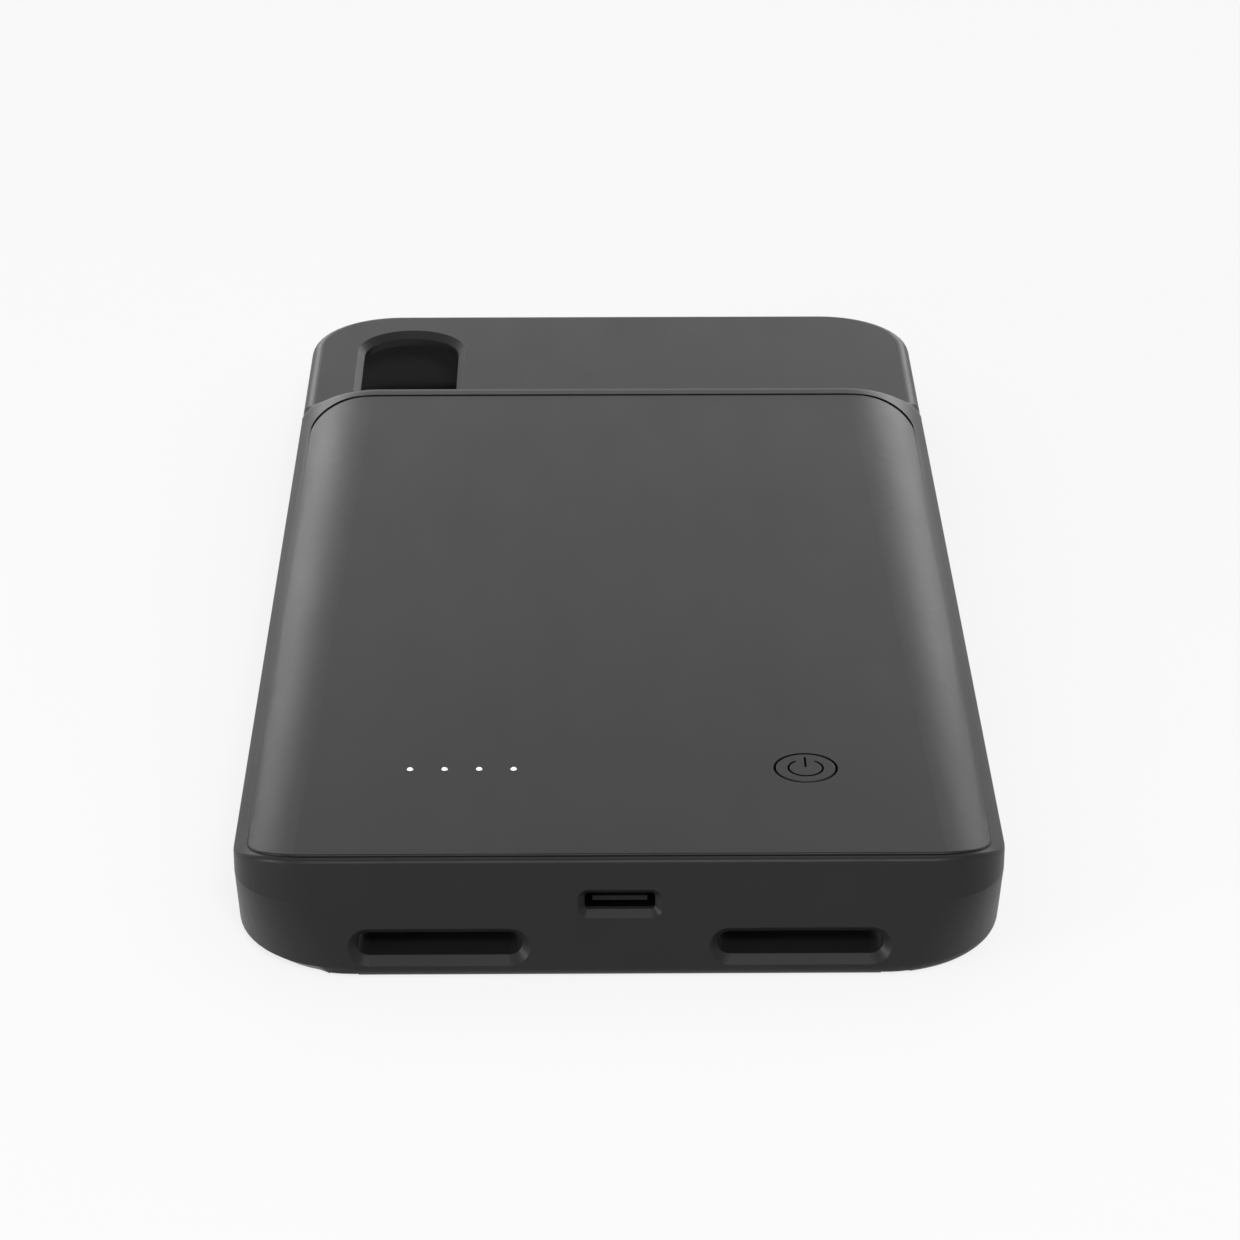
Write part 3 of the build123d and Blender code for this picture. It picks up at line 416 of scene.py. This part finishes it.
@dataclass(frozen=True)
class SolderMask(Finish):
    """A circuit board's lacquer with tracks under it and bare pads.

    Attributes:
        track: the colour of lacquer over copper.
        pad: the colour of the bare plated pads.
        pitch: the spacing of tracks and pads, in metres.
        cross_track: half the width of the tracks along Y, as a share of the pitch.
        long_track: half the width of the tracks along X, as a share of the pitch.
        pad_edge: where a pad starts from the middle of a track, as a share of the pitch.
        wave: the length over which the tracks stray, in metres.
        wander: how far they stray, as a share of the pitch.
        relief: how far the tracks stand up, in metres.
        roughness: the middle of the lacquer's roughness.
        reach: how far the roughness strays.
        grain: the size of one cloud of it, in metres.
    """

    track: Colour = (0.03, 0.17, 0.08)
    pad: Colour = (0.62, 0.55, 0.36)
    pitch: float = 1.6 * MM
    cross_track: float = 0.11
    long_track: float = 0.08
    pad_edge: float = 0.36
    wave: float = 6 * MM
    wander: float = 0.15
    relief: float = 0.02 * MM
    roughness: float = 0.32
    reach: float = 0.12
    grain: float = 0.5 * MM

    def draw(self, graph: Graph) -> None:
        """Raised tracks along two axes and rows of pads between them."""
        shift = graph.noise(self.wave, detail=1.0) * (self.wander * self.pitch)
        across = (graph.axis(Axis.X) + shift).repeat(self.pitch)
        along = (graph.axis(Axis.Y) + shift).repeat(self.pitch)
        tracks = (across < self.cross_track * self.pitch).either(along < self.long_track * self.pitch)
        pads = (across > self.pad_edge * self.pitch) * (along > self.pad_edge * self.pitch)
        lacquer = graph.blend(tracks, self.colour, self.track)
        graph.surface({
            "Base Color": graph.blend(pads, lacquer, self.pad),
            "Metallic": pads,
            "Roughness": graph.stray(self.roughness, (graph.noise(self.grain), self.reach)),
            "Normal": graph.bump(tracks, self.relief),
        })


@dataclass(frozen=True)
class PouchFoil(Finish):
    """The cell's laminated foil, with soft creases.

    Attributes:
        roughness: the middle of its roughness.
        metallic: how metallic it is.
        crease: the size of one crease, in metres.
        crease_stretch: the factors that draw the creases out along Y.
        crease_reach: how far the creases move the roughness.
        crease_depth: the depth of the creases, in metres.
        crease_strength: how strongly they show in the normal.
        grain: the width of one rolling line, in metres.
        grain_stretch: the factors that draw those lines out along Y.
        grain_reach: how far they move the roughness.
        dark: the factor of the darker tone.
        light: the factor of the lighter tone.
        spread: how far from the middle the two tones are reached.
    """

    roughness: float = 0.35
    metallic: float = 0.85
    crease: float = 9 * MM
    crease_stretch: Point = (1.0, 0.35, 1.0)
    crease_reach: float = 0.12
    crease_depth: float = 0.25 * MM
    crease_strength: float = 0.6
    grain: float = 0.12 * MM
    grain_stretch: Point = (1.0, 0.1, 1.0)
    grain_reach: float = 0.10
    dark: float = 0.85
    light: float = 1.05
    spread: float = 0.15

    def draw(self, graph: Graph) -> None:
        """Long creases and a fine rolled grain."""
        creases = graph.noise(self.crease, detail=4.0, stretch=self.crease_stretch)
        grain = graph.noise(self.grain, detail=1.0, stretch=self.grain_stretch)
        graph.surface({
            "Base Color": graph.tones(creases, self.colour, self.dark, self.light, self.spread),
            "Metallic": self.metallic,
            "Roughness": graph.stray(self.roughness, (creases, self.crease_reach), (grain, self.grain_reach)),
            "Normal": graph.bump(creases, self.crease_depth, self.crease_strength),
        })


@dataclass(frozen=True)
class ChipCeramic(Finish):
    """A small capacitor's body with plated ends.

    Attributes:
        end: the colour of the plated ends.
        middle: where the middle of its length lies on Y, in metres.
        half_body: half the length of the bare body, in metres.
        roughness: the middle of its roughness.
        reach: how far the roughness strays.
        speckle: the size of one speckle, in metres.
        dark: the factor of the darker tone.
        light: the factor of the lighter tone.
    """

    end: Colour = (0.66, 0.65, 0.62)
    middle: float = 0.0
    half_body: float = 0.6 * MM
    roughness: float = 0.375
    reach: float = 0.15
    speckle: float = 0.1 * MM
    dark: float = 0.85
    light: float = 1.12

    def draw(self, graph: Graph) -> None:
        """Plated ends where the piece is past its bare body."""
        ends = abs(graph.axis(Axis.Y) - self.middle) > self.half_body
        speckle = graph.noise(self.speckle)
        body = graph.tones(speckle, self.colour, self.dark, self.light)
        graph.surface({
            "Base Color": graph.blend(ends, body, self.end),
            "Metallic": ends,
            "Roughness": graph.stray(self.roughness, (speckle, self.reach)),
        })


@dataclass(frozen=True)
class LightResin(Finish):
    """Milky resin that carries light, with polished ends; the light that it gives off is painted, not cast by
    a lamp.

    Attributes:
        painted_glow: how strongly it shines by itself, with painted light that no lamp casts.
        roughness: the middle of its roughness.
        reach: how far the roughness strays.
        cloud: the size of one cloud in it, in metres.
        dark: the factor of the darker tone.
        light: the factor of the lighter tone.
    """

    painted_glow: float = 0.25
    roughness: float = 0.14
    reach: float = 0.08
    cloud: float = 0.35 * MM
    dark: float = 0.94
    light: float = 1.04

    def draw(self, graph: Graph) -> None:
        """Faint clouds in a smooth body that gives off a painted light."""
        clouds = graph.noise(self.cloud)
        body = graph.tones(clouds, self.colour, self.dark, self.light)
        graph.surface({
            "Base Color": body,
            "Roughness": graph.stray(self.roughness, (clouds, self.reach)),
            # The emission is painted light: nothing under the piece is lit.
            "Emission Color": body,
            "Emission Strength": self.painted_glow,
        })


@dataclass(frozen=True)
class SoftRubber(Finish):
    """Soft insulation or foam with a dull, pitted face.

    Attributes:
        pit: the size of one pit, in metres.
        depth: the depth of the pits, in metres.
        roughness: the middle of its roughness.
        reach: how far the roughness strays.
        dark: the factor of the darker tone.
        light: the factor of the lighter tone.
    """

    pit: float = 0.25 * MM
    depth: float = 0.02 * MM
    roughness: float = 0.625
    reach: float = 0.15
    dark: float = 0.8
    light: float = 1.2

    def draw(self, graph: Graph) -> None:
        """Pits in colour, roughness and normal."""
        pits = graph.noise(self.pit, detail=3.0)
        graph.surface({
            "Base Color": graph.tones(pits, self.colour, self.dark, self.light),
            "Roughness": graph.stray(self.roughness, (pits, self.reach)),
            "Normal": graph.bump(pits, self.depth),
        })


@dataclass(frozen=True)
class PrintedInk(Finish):
    """A thin coat of dull ink.

    Attributes:
        roughness: the middle of its roughness.
        reach: how far the roughness strays.
        cloud: the size of one cloud in the coat, in metres.
        dark: the factor of the darker tone.
        light: the factor of the lighter tone.
    """

    roughness: float = 0.80
    reach: float = 0.12
    cloud: float = 0.12 * MM
    dark: float = 0.7
    light: float = 1.3

    def draw(self, graph: Graph) -> None:
        """Slight unevenness of the coat."""
        coat = graph.noise(self.cloud)
        graph.surface({
            "Base Color": graph.tones(coat, self.colour, self.dark, self.light),
            "Roughness": graph.stray(self.roughness, (coat, self.reach)),
            "Specular IOR Level": 0.0,
        })


@dataclass(frozen=True)
class SweepPaper(Finish):
    """Pale studio paper that shows nearly white and keeps a soft shadow.

    Attributes:
        white: the share of plain white in the rays that show the background.
        cloud: the size of one cloud in the paper, in metres.
        mottle: how far its tone strays, as a share.
    """

    white: float = 0.8
    cloud: float = 40 * MM
    mottle: float = 0.005

    def draw(self, graph: Graph) -> None:
        """Mixes the matte paper with plain white."""
        tone = graph.tones(graph.noise(self.cloud), self.colour, 1.0 - self.mottle, 1.0 + self.mottle)
        matte = graph.add("ShaderNodeBsdfDiffuse", sockets={"Color": tone})
        plain = graph.add("ShaderNodeEmission", sockets={"Color": (*WHITE, 1.0), "Strength": 1.0})
        share = graph.background_rays() * self.white
        layers = {0: share, 1: matte.outputs[0], 2: plain.outputs[0]}
        mixed = graph.add("ShaderNodeMixShader", sockets=layers)
        graph.add("ShaderNodeOutputMaterial", sockets={"Surface": mixed.outputs[0]})


BLACK_INSULATOR = MouldedPlastic("black_insulator", (0.016, 0.016, 0.016), roughness=0.45)


def dress(finish: Finish, *nodes: str) -> None:
    """Gives every material slot of some CAD pieces one finish.

    Args:
        finish: the finish.
        nodes: the pieces' names.
    """
    for node in nodes:
        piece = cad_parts[node]
        if not piece.material_slots:
            piece.data.materials.append(None)
        for slot in piece.material_slots:
            slot.material = finish.material()
        LOG.info("%s: %s", node, finish.name)


def deselect_all() -> None:
    """Leaves nothing selected, so that an operator acts on the new piece alone."""
    bpy.ops.object.select_all(action="DESELECT")


@contextmanager
def edit_mode() -> Iterator[None]:
    """Opens the active piece's mesh for editing, and closes it again."""
    bpy.ops.object.mode_set(mode="EDIT")
    yield
    bpy.ops.object.mode_set(mode="OBJECT")


def settle() -> None:
    """Puts the active piece's place, turn and scale into its mesh."""
    bpy.ops.object.transform_apply(location=True, rotation=True, scale=True)


def apply_modifier(kind: str, settings: dict[str, Any]) -> None:
    """Applies one modifier to the active piece.

    Args:
        kind: the modifier's type.
        settings: what is set on it.
    """
    modifier = bpy.context.object.modifiers.new(kind.lower(), kind)
    for name, value in settings.items():
        setattr(modifier, name, value)
    bpy.ops.object.modifier_apply(modifier=modifier.name)


def finish_piece(name: str, body: Body, finish: Finish) -> None:
    """Names the active piece, puts its place into its mesh, dresses it and lets it ride.

    Args:
        name: the piece's name.
        body: the body that it moves with.
        finish: its finish.
    """
    piece = bpy.context.object
    piece.name = name
    piece.data.name = name
    settle()
    piece.data.materials.append(finish.material())
    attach(piece, body.value)
    LOG.info("%s: new piece", name)


@dataclass
class CaseShell:
    """The moulded frame, the cover of the hump, the tray between them and the keys.

    Attributes:
        frame_finish: the frame's finish.
        cover_finish: the cover's finish.
        tray_finish: the tray's finish.
        key_finish: the finish of the keys in the side walls.
    """

    frame_finish: Finish = MouldedPlastic("frame_black", (0.0115, 0.0115, 0.0118))
    cover_finish: Finish = MouldedPlastic("cover_black", (0.009, 0.009, 0.0092))
    tray_finish: Finish = MouldedPlastic(
        "tray_black", (0.012, 0.012, 0.0125), roughness=0.5, grain=0.3 * MM)
    key_finish: Finish = MouldedPlastic("key_black", (0.0115, 0.0115, 0.0118), roughness=0.40)

    def build(self) -> None:
        """Dresses the shells and the keys."""
        dress(self.frame_finish, "case_frame")
        dress(self.cover_finish, "battery_cover")
        dress(self.tray_finish, "inner_tray")
        dress(self.key_finish, "side_button", "volume_up_button", "volume_down_button")


@dataclass
class SeamFill:
    """A flush fill in the cover's seam along both long sides.

    Attributes:
        near: where it starts on Y.
        far: where it ends on Y.
        width: its width.
        columns: the faces across it.
        rows: the faces along it.
        groove: how far to each side of the seam it bridges without touching the case.
        clearance: the seam's own width.
        drop: the height from which it is laid onto the case.
        proud: how far it stands above the case.
        sink: how far its border goes down from there.
        side_fade: the width over which it sinks at its sides.
        end_fade: the length over which it sinks at its ends.
        depth: its thickness.
        sharp: the angle past which its edges stay sharp, in degrees.
        finish: its finish, the cover's own.
    """

    near: float = -71.0 * MM
    far: float = 37.5 * MM
    width: float = 2.4 * MM
    columns: int = 20
    rows: int = 56
    groove: float = 0.2 * MM
    clearance: float = 0.04 * MM
    drop: float = 20.0 * MM
    proud: float = 0.014 * MM
    sink: float = 0.024 * MM
    side_fade: float = 0.6 * MM
    end_fade: float = 4.0 * MM
    depth: float = 0.06 * MM
    sharp: float = 40.0
    finish: Finish = CaseShell.cover_finish

    def build(self) -> None:
        """Lays one strip along each side."""
        form = self.merged_form()
        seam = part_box("battery_cover")[1].x + self.clearance / 2
        for name, place in (("left_seam_fill", -seam), ("right_seam_fill", seam)):
            self.add_strip(place)
            self.lay(form, place)
            finish_piece(name, Body.CASE, self.finish)
        bpy.data.objects.remove(form)

    def merged_form(self) -> bpy.types.Object:
        """Copies the cover and the frame into one merged form.

        Returns:
            The form that the strips are laid on.
        """
        deselect_all()
        for node in ("battery_cover", "case_frame"):
            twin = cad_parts[node].copy()
            twin.data = twin.data.copy()
            bpy.context.scene.collection.objects.link(twin)
            twin.select_set(True)
            bpy.context.view_layer.objects.active = twin
        bpy.ops.object.join()
        with edit_mode():
            bpy.ops.mesh.select_all(action="SELECT")
            bpy.ops.mesh.remove_doubles(threshold=WELD)
        return bpy.context.object

    def add_strip(self, place: float) -> None:
        """Adds a flat strip above the seam, with no lines over the groove.

        Args:
            place: the seam's place on X.
        """
        deselect_all()
        middle = (self.near + self.far) / 2
        bpy.ops.mesh.primitive_grid_add(
            x_subdivisions=self.columns, y_subdivisions=self.rows, size=1.0,
            location=(place, middle, self.drop))
        strip = bpy.context.object
        strip.scale = (self.width, self.far - self.near, 1.0)
        settle()
        with edit_mode():
            bpy.ops.mesh.select_mode(type="EDGE")
            bpy.ops.mesh.select_all(action="DESELECT")
        for edge in strip.data.edges:
            first, second = (strip.data.vertices[index].co.x - place for index in edge.vertices)
            edge.select = abs(first - second) < WELD and abs(first) < self.groove
        with edit_mode():
            bpy.ops.mesh.dissolve_edges(use_verts=True)
            bpy.ops.mesh.select_mode(type="FACE")

    def lay(self, form: bpy.types.Object, place: float) -> None:
        """Drops the active strip onto the case, sinks its border and gives it its thickness.

        Args:
            form: the merged form of cover and frame.
            place: the seam's place on X.
        """
        strip = bpy.context.object
        apply_modifier("SHRINKWRAP", {
            "target": form,
            "wrap_method": "PROJECT",
            "wrap_mode": "ABOVE_SURFACE",
            "use_project_z": True,
            "use_positive_direction": False,
            "use_negative_direction": True,
            "offset": self.proud,
        })
        border = strip.vertex_groups.new(name="border")
        for vertex in strip.data.vertices:
            border.add([vertex.index], self.border_share(vertex.co, place), "REPLACE")
        apply_modifier("DISPLACE", {
            "direction": "NORMAL",
            "mid_level": 0.0,
            "strength": -self.sink,
            "vertex_group": border.name,
        })
        strip.vertex_groups.clear()
        apply_modifier("SOLIDIFY", {"thickness": self.depth, "offset": -1.0})
        bpy.ops.object.shade_smooth_by_angle(angle=math.radians(self.sharp))

    def border_share(self, point: Vector, place: float) -> float:
        """How far a point of the strip belongs to its border.

        Args:
            point: the point.
            place: the seam's place on X.

        Returns:
            1 at the strip's edge, and 0 past the fades.
        """
        inward = (self.width / 2 - abs(point.x - place)) / self.side_fade
        onward = min(point.y - self.near, self.far - point.y) / self.end_fade
        return max(0.0, 1.0 - max(0.0, min(inward, onward)))


@dataclass
class PowerButton:
    """The round button with its standby sign, and the switch under it.

    Attributes:
        ring_radius: the sign's ring, to the middle of its line.
        line: the width of the sign's lines.
        gap: the opening at the ring's top, in degrees.
        bar: the length of the bar.
        bar_foot: how far above the button's middle the bar starts.
        ink: how far the sign stands above the button.
        root: how far it reaches into the button.
        start: the length of the stroke that the ring is spun from, as a share of its width.
        steps: the steps of that spin.
        cap_finish: the button's finish.
        ink_finish: the sign's finish.
        steel: the switch's finish.
        plunger: the finish of the switch's plunger.
    """

    ring_radius: float = 1.82 * MM
    line: float = 0.24 * MM
    gap: float = 68.0
    bar: float = 2.25 * MM
    bar_foot: float = 0.2 * MM
    ink: float = 0.012 * MM
    root: float = 0.05 * MM
    start: float = 0.25
    steps: int = 56
    cap_finish: Finish = MouldedPlastic("button_black", (0.009, 0.009, 0.0092))
    ink_finish: Finish = PrintedInk("sign_ink", (0.003, 0.003, 0.003))
    steel: Finish = PlatedMetal("switch_steel", (0.60, 0.60, 0.60), roughness=0.32, along=Axis.X)
    plunger: Finish = BLACK_INSULATOR

    def build(self) -> None:
        """Dresses the button and the switch and prints the sign."""
        dress(self.cap_finish, "power_button")
        dress(self.steel, "switch_body")
        dress(self.plunger, "switch_plunger")
        low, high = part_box("power_button")
        centre = Vector(((low.x + high.x) / 2, (low.y + high.y) / 2, high.z))
        self.print_ring(centre)
        self.print_bar(centre)

    def add_stroke(self, place: Vector, size: tuple[float, float]) -> None:
        """Adds one block of ink.

        Args:
            place: its middle on the button's face.
            size: its sizes along X and Y.
        """
        height = self.ink + self.root
        level = place.z + (self.ink - self.root) / 2
        deselect_all()
        bpy.ops.mesh.primitive_cube_add(size=1.0, location=(place.x, place.y, level))
        bpy.context.object.scale = (*size, height)
        settle()

    def print_ring(self, centre: Vector) -> None:
        """Spins a short stroke into a ring that is open at its top."""
        first = math.radians(90.0 - self.gap / 2)
        sweep = math.radians(360.0 - self.gap)
        foot = centre + Vector((math.cos(first), math.sin(first), 0.0)) * self.ring_radius
        self.add_stroke(foot, (self.line, self.line * self.start))
        with edit_mode():
            bpy.ops.mesh.select_all(action="SELECT")
            bpy.ops.transform.rotate(value=-first, orient_axis="Z", center_override=foot)
            bpy.ops.mesh.select_all(action="DESELECT")
        onward = Vector((math.sin(first), -math.cos(first), 0.0))
        for face in bpy.context.object.data.polygons:
            face.select = face.normal.dot(onward) > FACING
        with edit_mode():
            bpy.ops.mesh.spin(steps=self.steps, angle=sweep, center=centre, axis=UP)
            bpy.ops.mesh.select_all(action="SELECT")
            bpy.ops.mesh.remove_doubles(threshold=WELD)
            bpy.ops.mesh.normals_make_consistent(inside=False)
        self.soften()
        finish_piece("standby_ring", Body.POWER_BUTTON, self.ink_finish)

    def print_bar(self, centre: Vector) -> None:
        """Prints the bar that stands in the ring's opening."""
        middle = centre + Vector((0.0, self.bar_foot + self.bar / 2, 0.0))
        self.add_stroke(middle, (self.line, self.bar))
        self.soften()
        finish_piece("standby_bar", Body.POWER_BUTTON, self.ink_finish)

    def soften(self) -> None:
        """Rounds the edges of the ink a little."""
        apply_modifier("BEVEL", {"width": self.ink / 2, "segments": 2, "limit_method": "ANGLE"})


@dataclass
class ChargeLights:
    """The light guide with its domes and the light chips under it.

    Attributes:
        guide: the guide's finish, which shines with painted light.
        chips: the chips' finish.
    """

    # The guide's shine is painted light: the chips under it are given none and stay dark.
    guide: Finish = LightResin("light_guide", (0.86, 0.87, 0.89))
    chips: Finish = LightResin("led_resin", (0.80, 0.78, 0.60), painted_glow=0.0)

    def build(self) -> None:
        """Dresses the guide and the chips."""
        dress(self.guide, "light_guide")
        dress(self.chips, "status_leds")


@dataclass
class Connectors:
    """The charging socket in the chin and the plug in the pocket.

    Attributes:
        shell: the finish of the socket's shell.
        tab: the finish of the plug's metal tab.
        gold: the contacts' finish.
        tongue: the finish of the socket's tongue.
        insulator: the finish of the plug's housing and the pin strip.
    """

    shell: Finish = PlatedMetal("blackened_steel", (0.06, 0.06, 0.062), roughness=0.36)
    tab: Finish = PlatedMetal("plug_steel", (0.62, 0.62, 0.62), roughness=0.26)
    gold: Finish = PlatedMetal("gold_contacts", (0.80, 0.58, 0.22), roughness=0.24)
    tongue: Finish = MouldedPlastic("dull_insulator", (0.010, 0.010, 0.010), roughness=0.5, specular=0.1)
    insulator: Finish = BLACK_INSULATOR

    def build(self) -> None:
        """Dresses the metal shells, the insulators and the contacts."""
        dress(self.shell, "socket_shell")
        dress(self.tab, "plug_tab")
        dress(self.gold, "socket_contacts", "plug_contacts", "link_pins")
        dress(self.tongue, "socket_tongue")
        dress(self.insulator, "plug_housing", "board_link")


@dataclass
class Electronics:
    """The boards with their parts, and the screws that hold them.

    Attributes:
        board: the boards' finish.
        chip: the chips' finish.
        ferrite: the coil body's finish.
        screw: the screws' finish.
        ceramic: the colour of the capacitors.
    """

    board: Finish = SolderMask("circuit_board", (0.012, 0.085, 0.04))
    chip: Finish = MouldedPlastic("chip_resin", (0.018, 0.018, 0.018), roughness=0.55, grain=0.08 * MM)
    ferrite: Finish = MouldedPlastic("ferrite", (0.06, 0.06, 0.062), roughness=0.6, grain=0.12 * MM)
    screw: Finish = PlatedMetal("screw_steel", (0.55, 0.55, 0.56), roughness=0.3)
    ceramic: Colour = (0.38, 0.25, 0.14)

    def build(self) -> None:
        """Dresses the boards, the parts and the screws."""
        dress(self.board, "control_board", "chin_board", "protection_board")
        dress(self.chip, "control_chips")
        dress(self.ferrite, "boost_inductor")
        dress(self.screw, "board_screws")
        low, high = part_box("board_capacitors")
        middle = (low.y + high.y) / 2
        dress(ChipCeramic("capacitor_ceramic", self.ceramic, middle=middle), "board_capacitors")


@dataclass
class BatteryPack:
    """The pouch cell with its tape, tabs and leads.

    Attributes:
        foil: the cell's finish.
        tape: the finish of the pads under it.
        nickel: the tabs' finish.
        red: the finish of the positive lead.
        black: the finish of the negative lead.
    """

    foil: Finish = PouchFoil("cell_foil", (0.62, 0.63, 0.65))
    tape: Finish = SoftRubber("foam_tape", (0.05, 0.05, 0.05))
    nickel: Finish = PlatedMetal("nickel_tab", (0.66, 0.64, 0.60), roughness=0.34)
    red: Finish = SoftRubber("red_insulation", (0.45, 0.02, 0.02), pit=0.15 * MM)
    black: Finish = SoftRubber("black_insulation", (0.02, 0.02, 0.02), pit=0.15 * MM)

    def build(self) -> None:
        """Dresses the cell and what is fixed to it."""
        dress(self.foil, "battery_cell")
        dress(self.tape, "adhesive_pads")
        dress(self.nickel, "cell_tabs")
        dress(self.red, "positive_lead")
        dress(self.black, "negative_lead")


@dataclass(frozen=True)
class Softbox:
    """One rectangular lamp that looks at a point of the case.

    Attributes:
        name: the lamp's name.
        place: where it stands, in metres.
        target: the point that it looks at.
        width: its width, in metres.
        height: its height, in metres.
        power: its power, in watts.
    """

    name: str
    place: Point
    target: Point
    width: float
    height: float
    power: float

    def build(self) -> None:
        """Adds the lamp."""
        data = bpy.data.lights.new(self.name, "AREA")
        data.shape = "RECTANGLE"
        data.size = self.width
        data.size_y = self.height
        data.energy = self.power
        lamp = bpy.data.objects.new(self.name, data)
        lamp.location = self.place
        gaze = Vector(self.target) - Vector(self.place)
        lamp.rotation_euler = gaze.to_track_quat("-Z", "Y").to_euler()
        bpy.context.scene.collection.objects.link(lamp)


@dataclass
class Studio:
    """A pale floor, soft lamps, and the camera at the photograph's place.

    Attributes:
        photo_side: the side of the photograph, in its pixels.
        focal_pixels: the camera's focal length, in the same pixels.
        sensor: the side of the camera's sensor, in millimetres.
        camera_place: where the camera stands, in metres.
        camera_pitch: how far it looks down, in degrees.
        camera_yaw: how far it is turned to the right, in degrees.
        floor_side: the side of the floor, in metres.
        floor_drop: how far the floor lies under the case, in metres.
        floor_finish: the floor's finish.
        ambient: the strength of the even light.
        lamps: the lamps.
    """

    photo_side: float = 1240.0
    focal_pixels: float = 4200.0
    sensor: float = 36.0
    camera_place: Point = (-0.0031, -0.4539, 0.2175)
    camera_pitch: float = 25.3
    camera_yaw: float = 0.475
    floor_side: float = 6.0
    floor_drop: float = 0.05 * MM
    floor_finish: Finish = SweepPaper("floor_white", (0.9, 0.9, 0.9))
    ambient: float = 0.5
    lamps: list[Softbox] = field(default_factory=lambda: [
        Softbox("left_strip", (-0.34, 0.92, 0.21), (0.0, -0.01, 0.01), 0.26, 0.18, 0.9),
        Softbox("right_strip", (0.34, 0.92, 0.21), (0.0, -0.01, 0.01), 0.26, 0.18, 0.9),
        Softbox("back_box", (0.0, 1.2, 0.32), (0.0, 0.0, 0.01), 0.9, 0.12, 0.5),
        Softbox("front_box", (0.1, -0.8, 0.65), (0.0, -0.05, 0.01), 0.25, 0.15, 5.0),
        Softbox("low_strip", (-0.87, -0.52, 0.1), (0.0, -0.07, 0.01), 0.3, 0.12, 5.0),
    ])

    def build(self) -> None:
        """Adds the floor, the world, the lamps and the camera."""
        bpy.context.scene.view_settings.view_transform = "Standard"
        self.lay_floor()
        self.light_world()
        for lamp in self.lamps:
            lamp.build()
        self.set_camera()

    def lay_floor(self) -> None:
        """Lays the floor just under the case."""
        deselect_all()
        place = (0.0, 0.0, -self.floor_drop)
        bpy.ops.mesh.primitive_plane_add(size=self.floor_side, location=place)
        floor = bpy.context.object
        floor.name = "floor"
        floor.data.materials.append(self.floor_finish.material())

    def light_world(self) -> None:
        """Gives an even light, and white to the rays that show the background."""
        world = bpy.data.worlds.new("studio")
        world.use_nodes = True
        bpy.context.scene.world = world
        graph = Graph(world.node_tree)
        strength = graph.background_rays() * (1.0 - self.ambient) + self.ambient
        sockets = {"Color": (*WHITE, 1.0), "Strength": strength}
        background = graph.add("ShaderNodeBackground", sockets=sockets)
        graph.add("ShaderNodeOutputWorld", sockets={"Surface": background.outputs[0]})

    def set_camera(self) -> None:
        """Sets the camera at the photograph's viewing angle."""
        data = bpy.data.cameras.new("camera")
        data.sensor_width = self.sensor
        data.lens = self.sensor * self.focal_pixels / self.photo_side
        camera = bpy.data.objects.new("camera", data)
        camera.location = self.camera_place
        tilt = math.radians(90.0 - self.camera_pitch)
        camera.rotation_euler = (tilt, 0.0, -math.radians(self.camera_yaw))
        bpy.context.scene.collection.objects.link(camera)
        bpy.context.scene.camera = camera


def main() -> None:
    """Builds each sub-assembly in order."""
    logging.basicConfig(level=logging.INFO)
    parts = (
        CaseShell(), SeamFill(), PowerButton(), ChargeLights(),
        Connectors(), Electronics(), BatteryPack(), Studio(),
    )
    for part in parts:
        part.build()


if __name__ == "__main__":
    main()
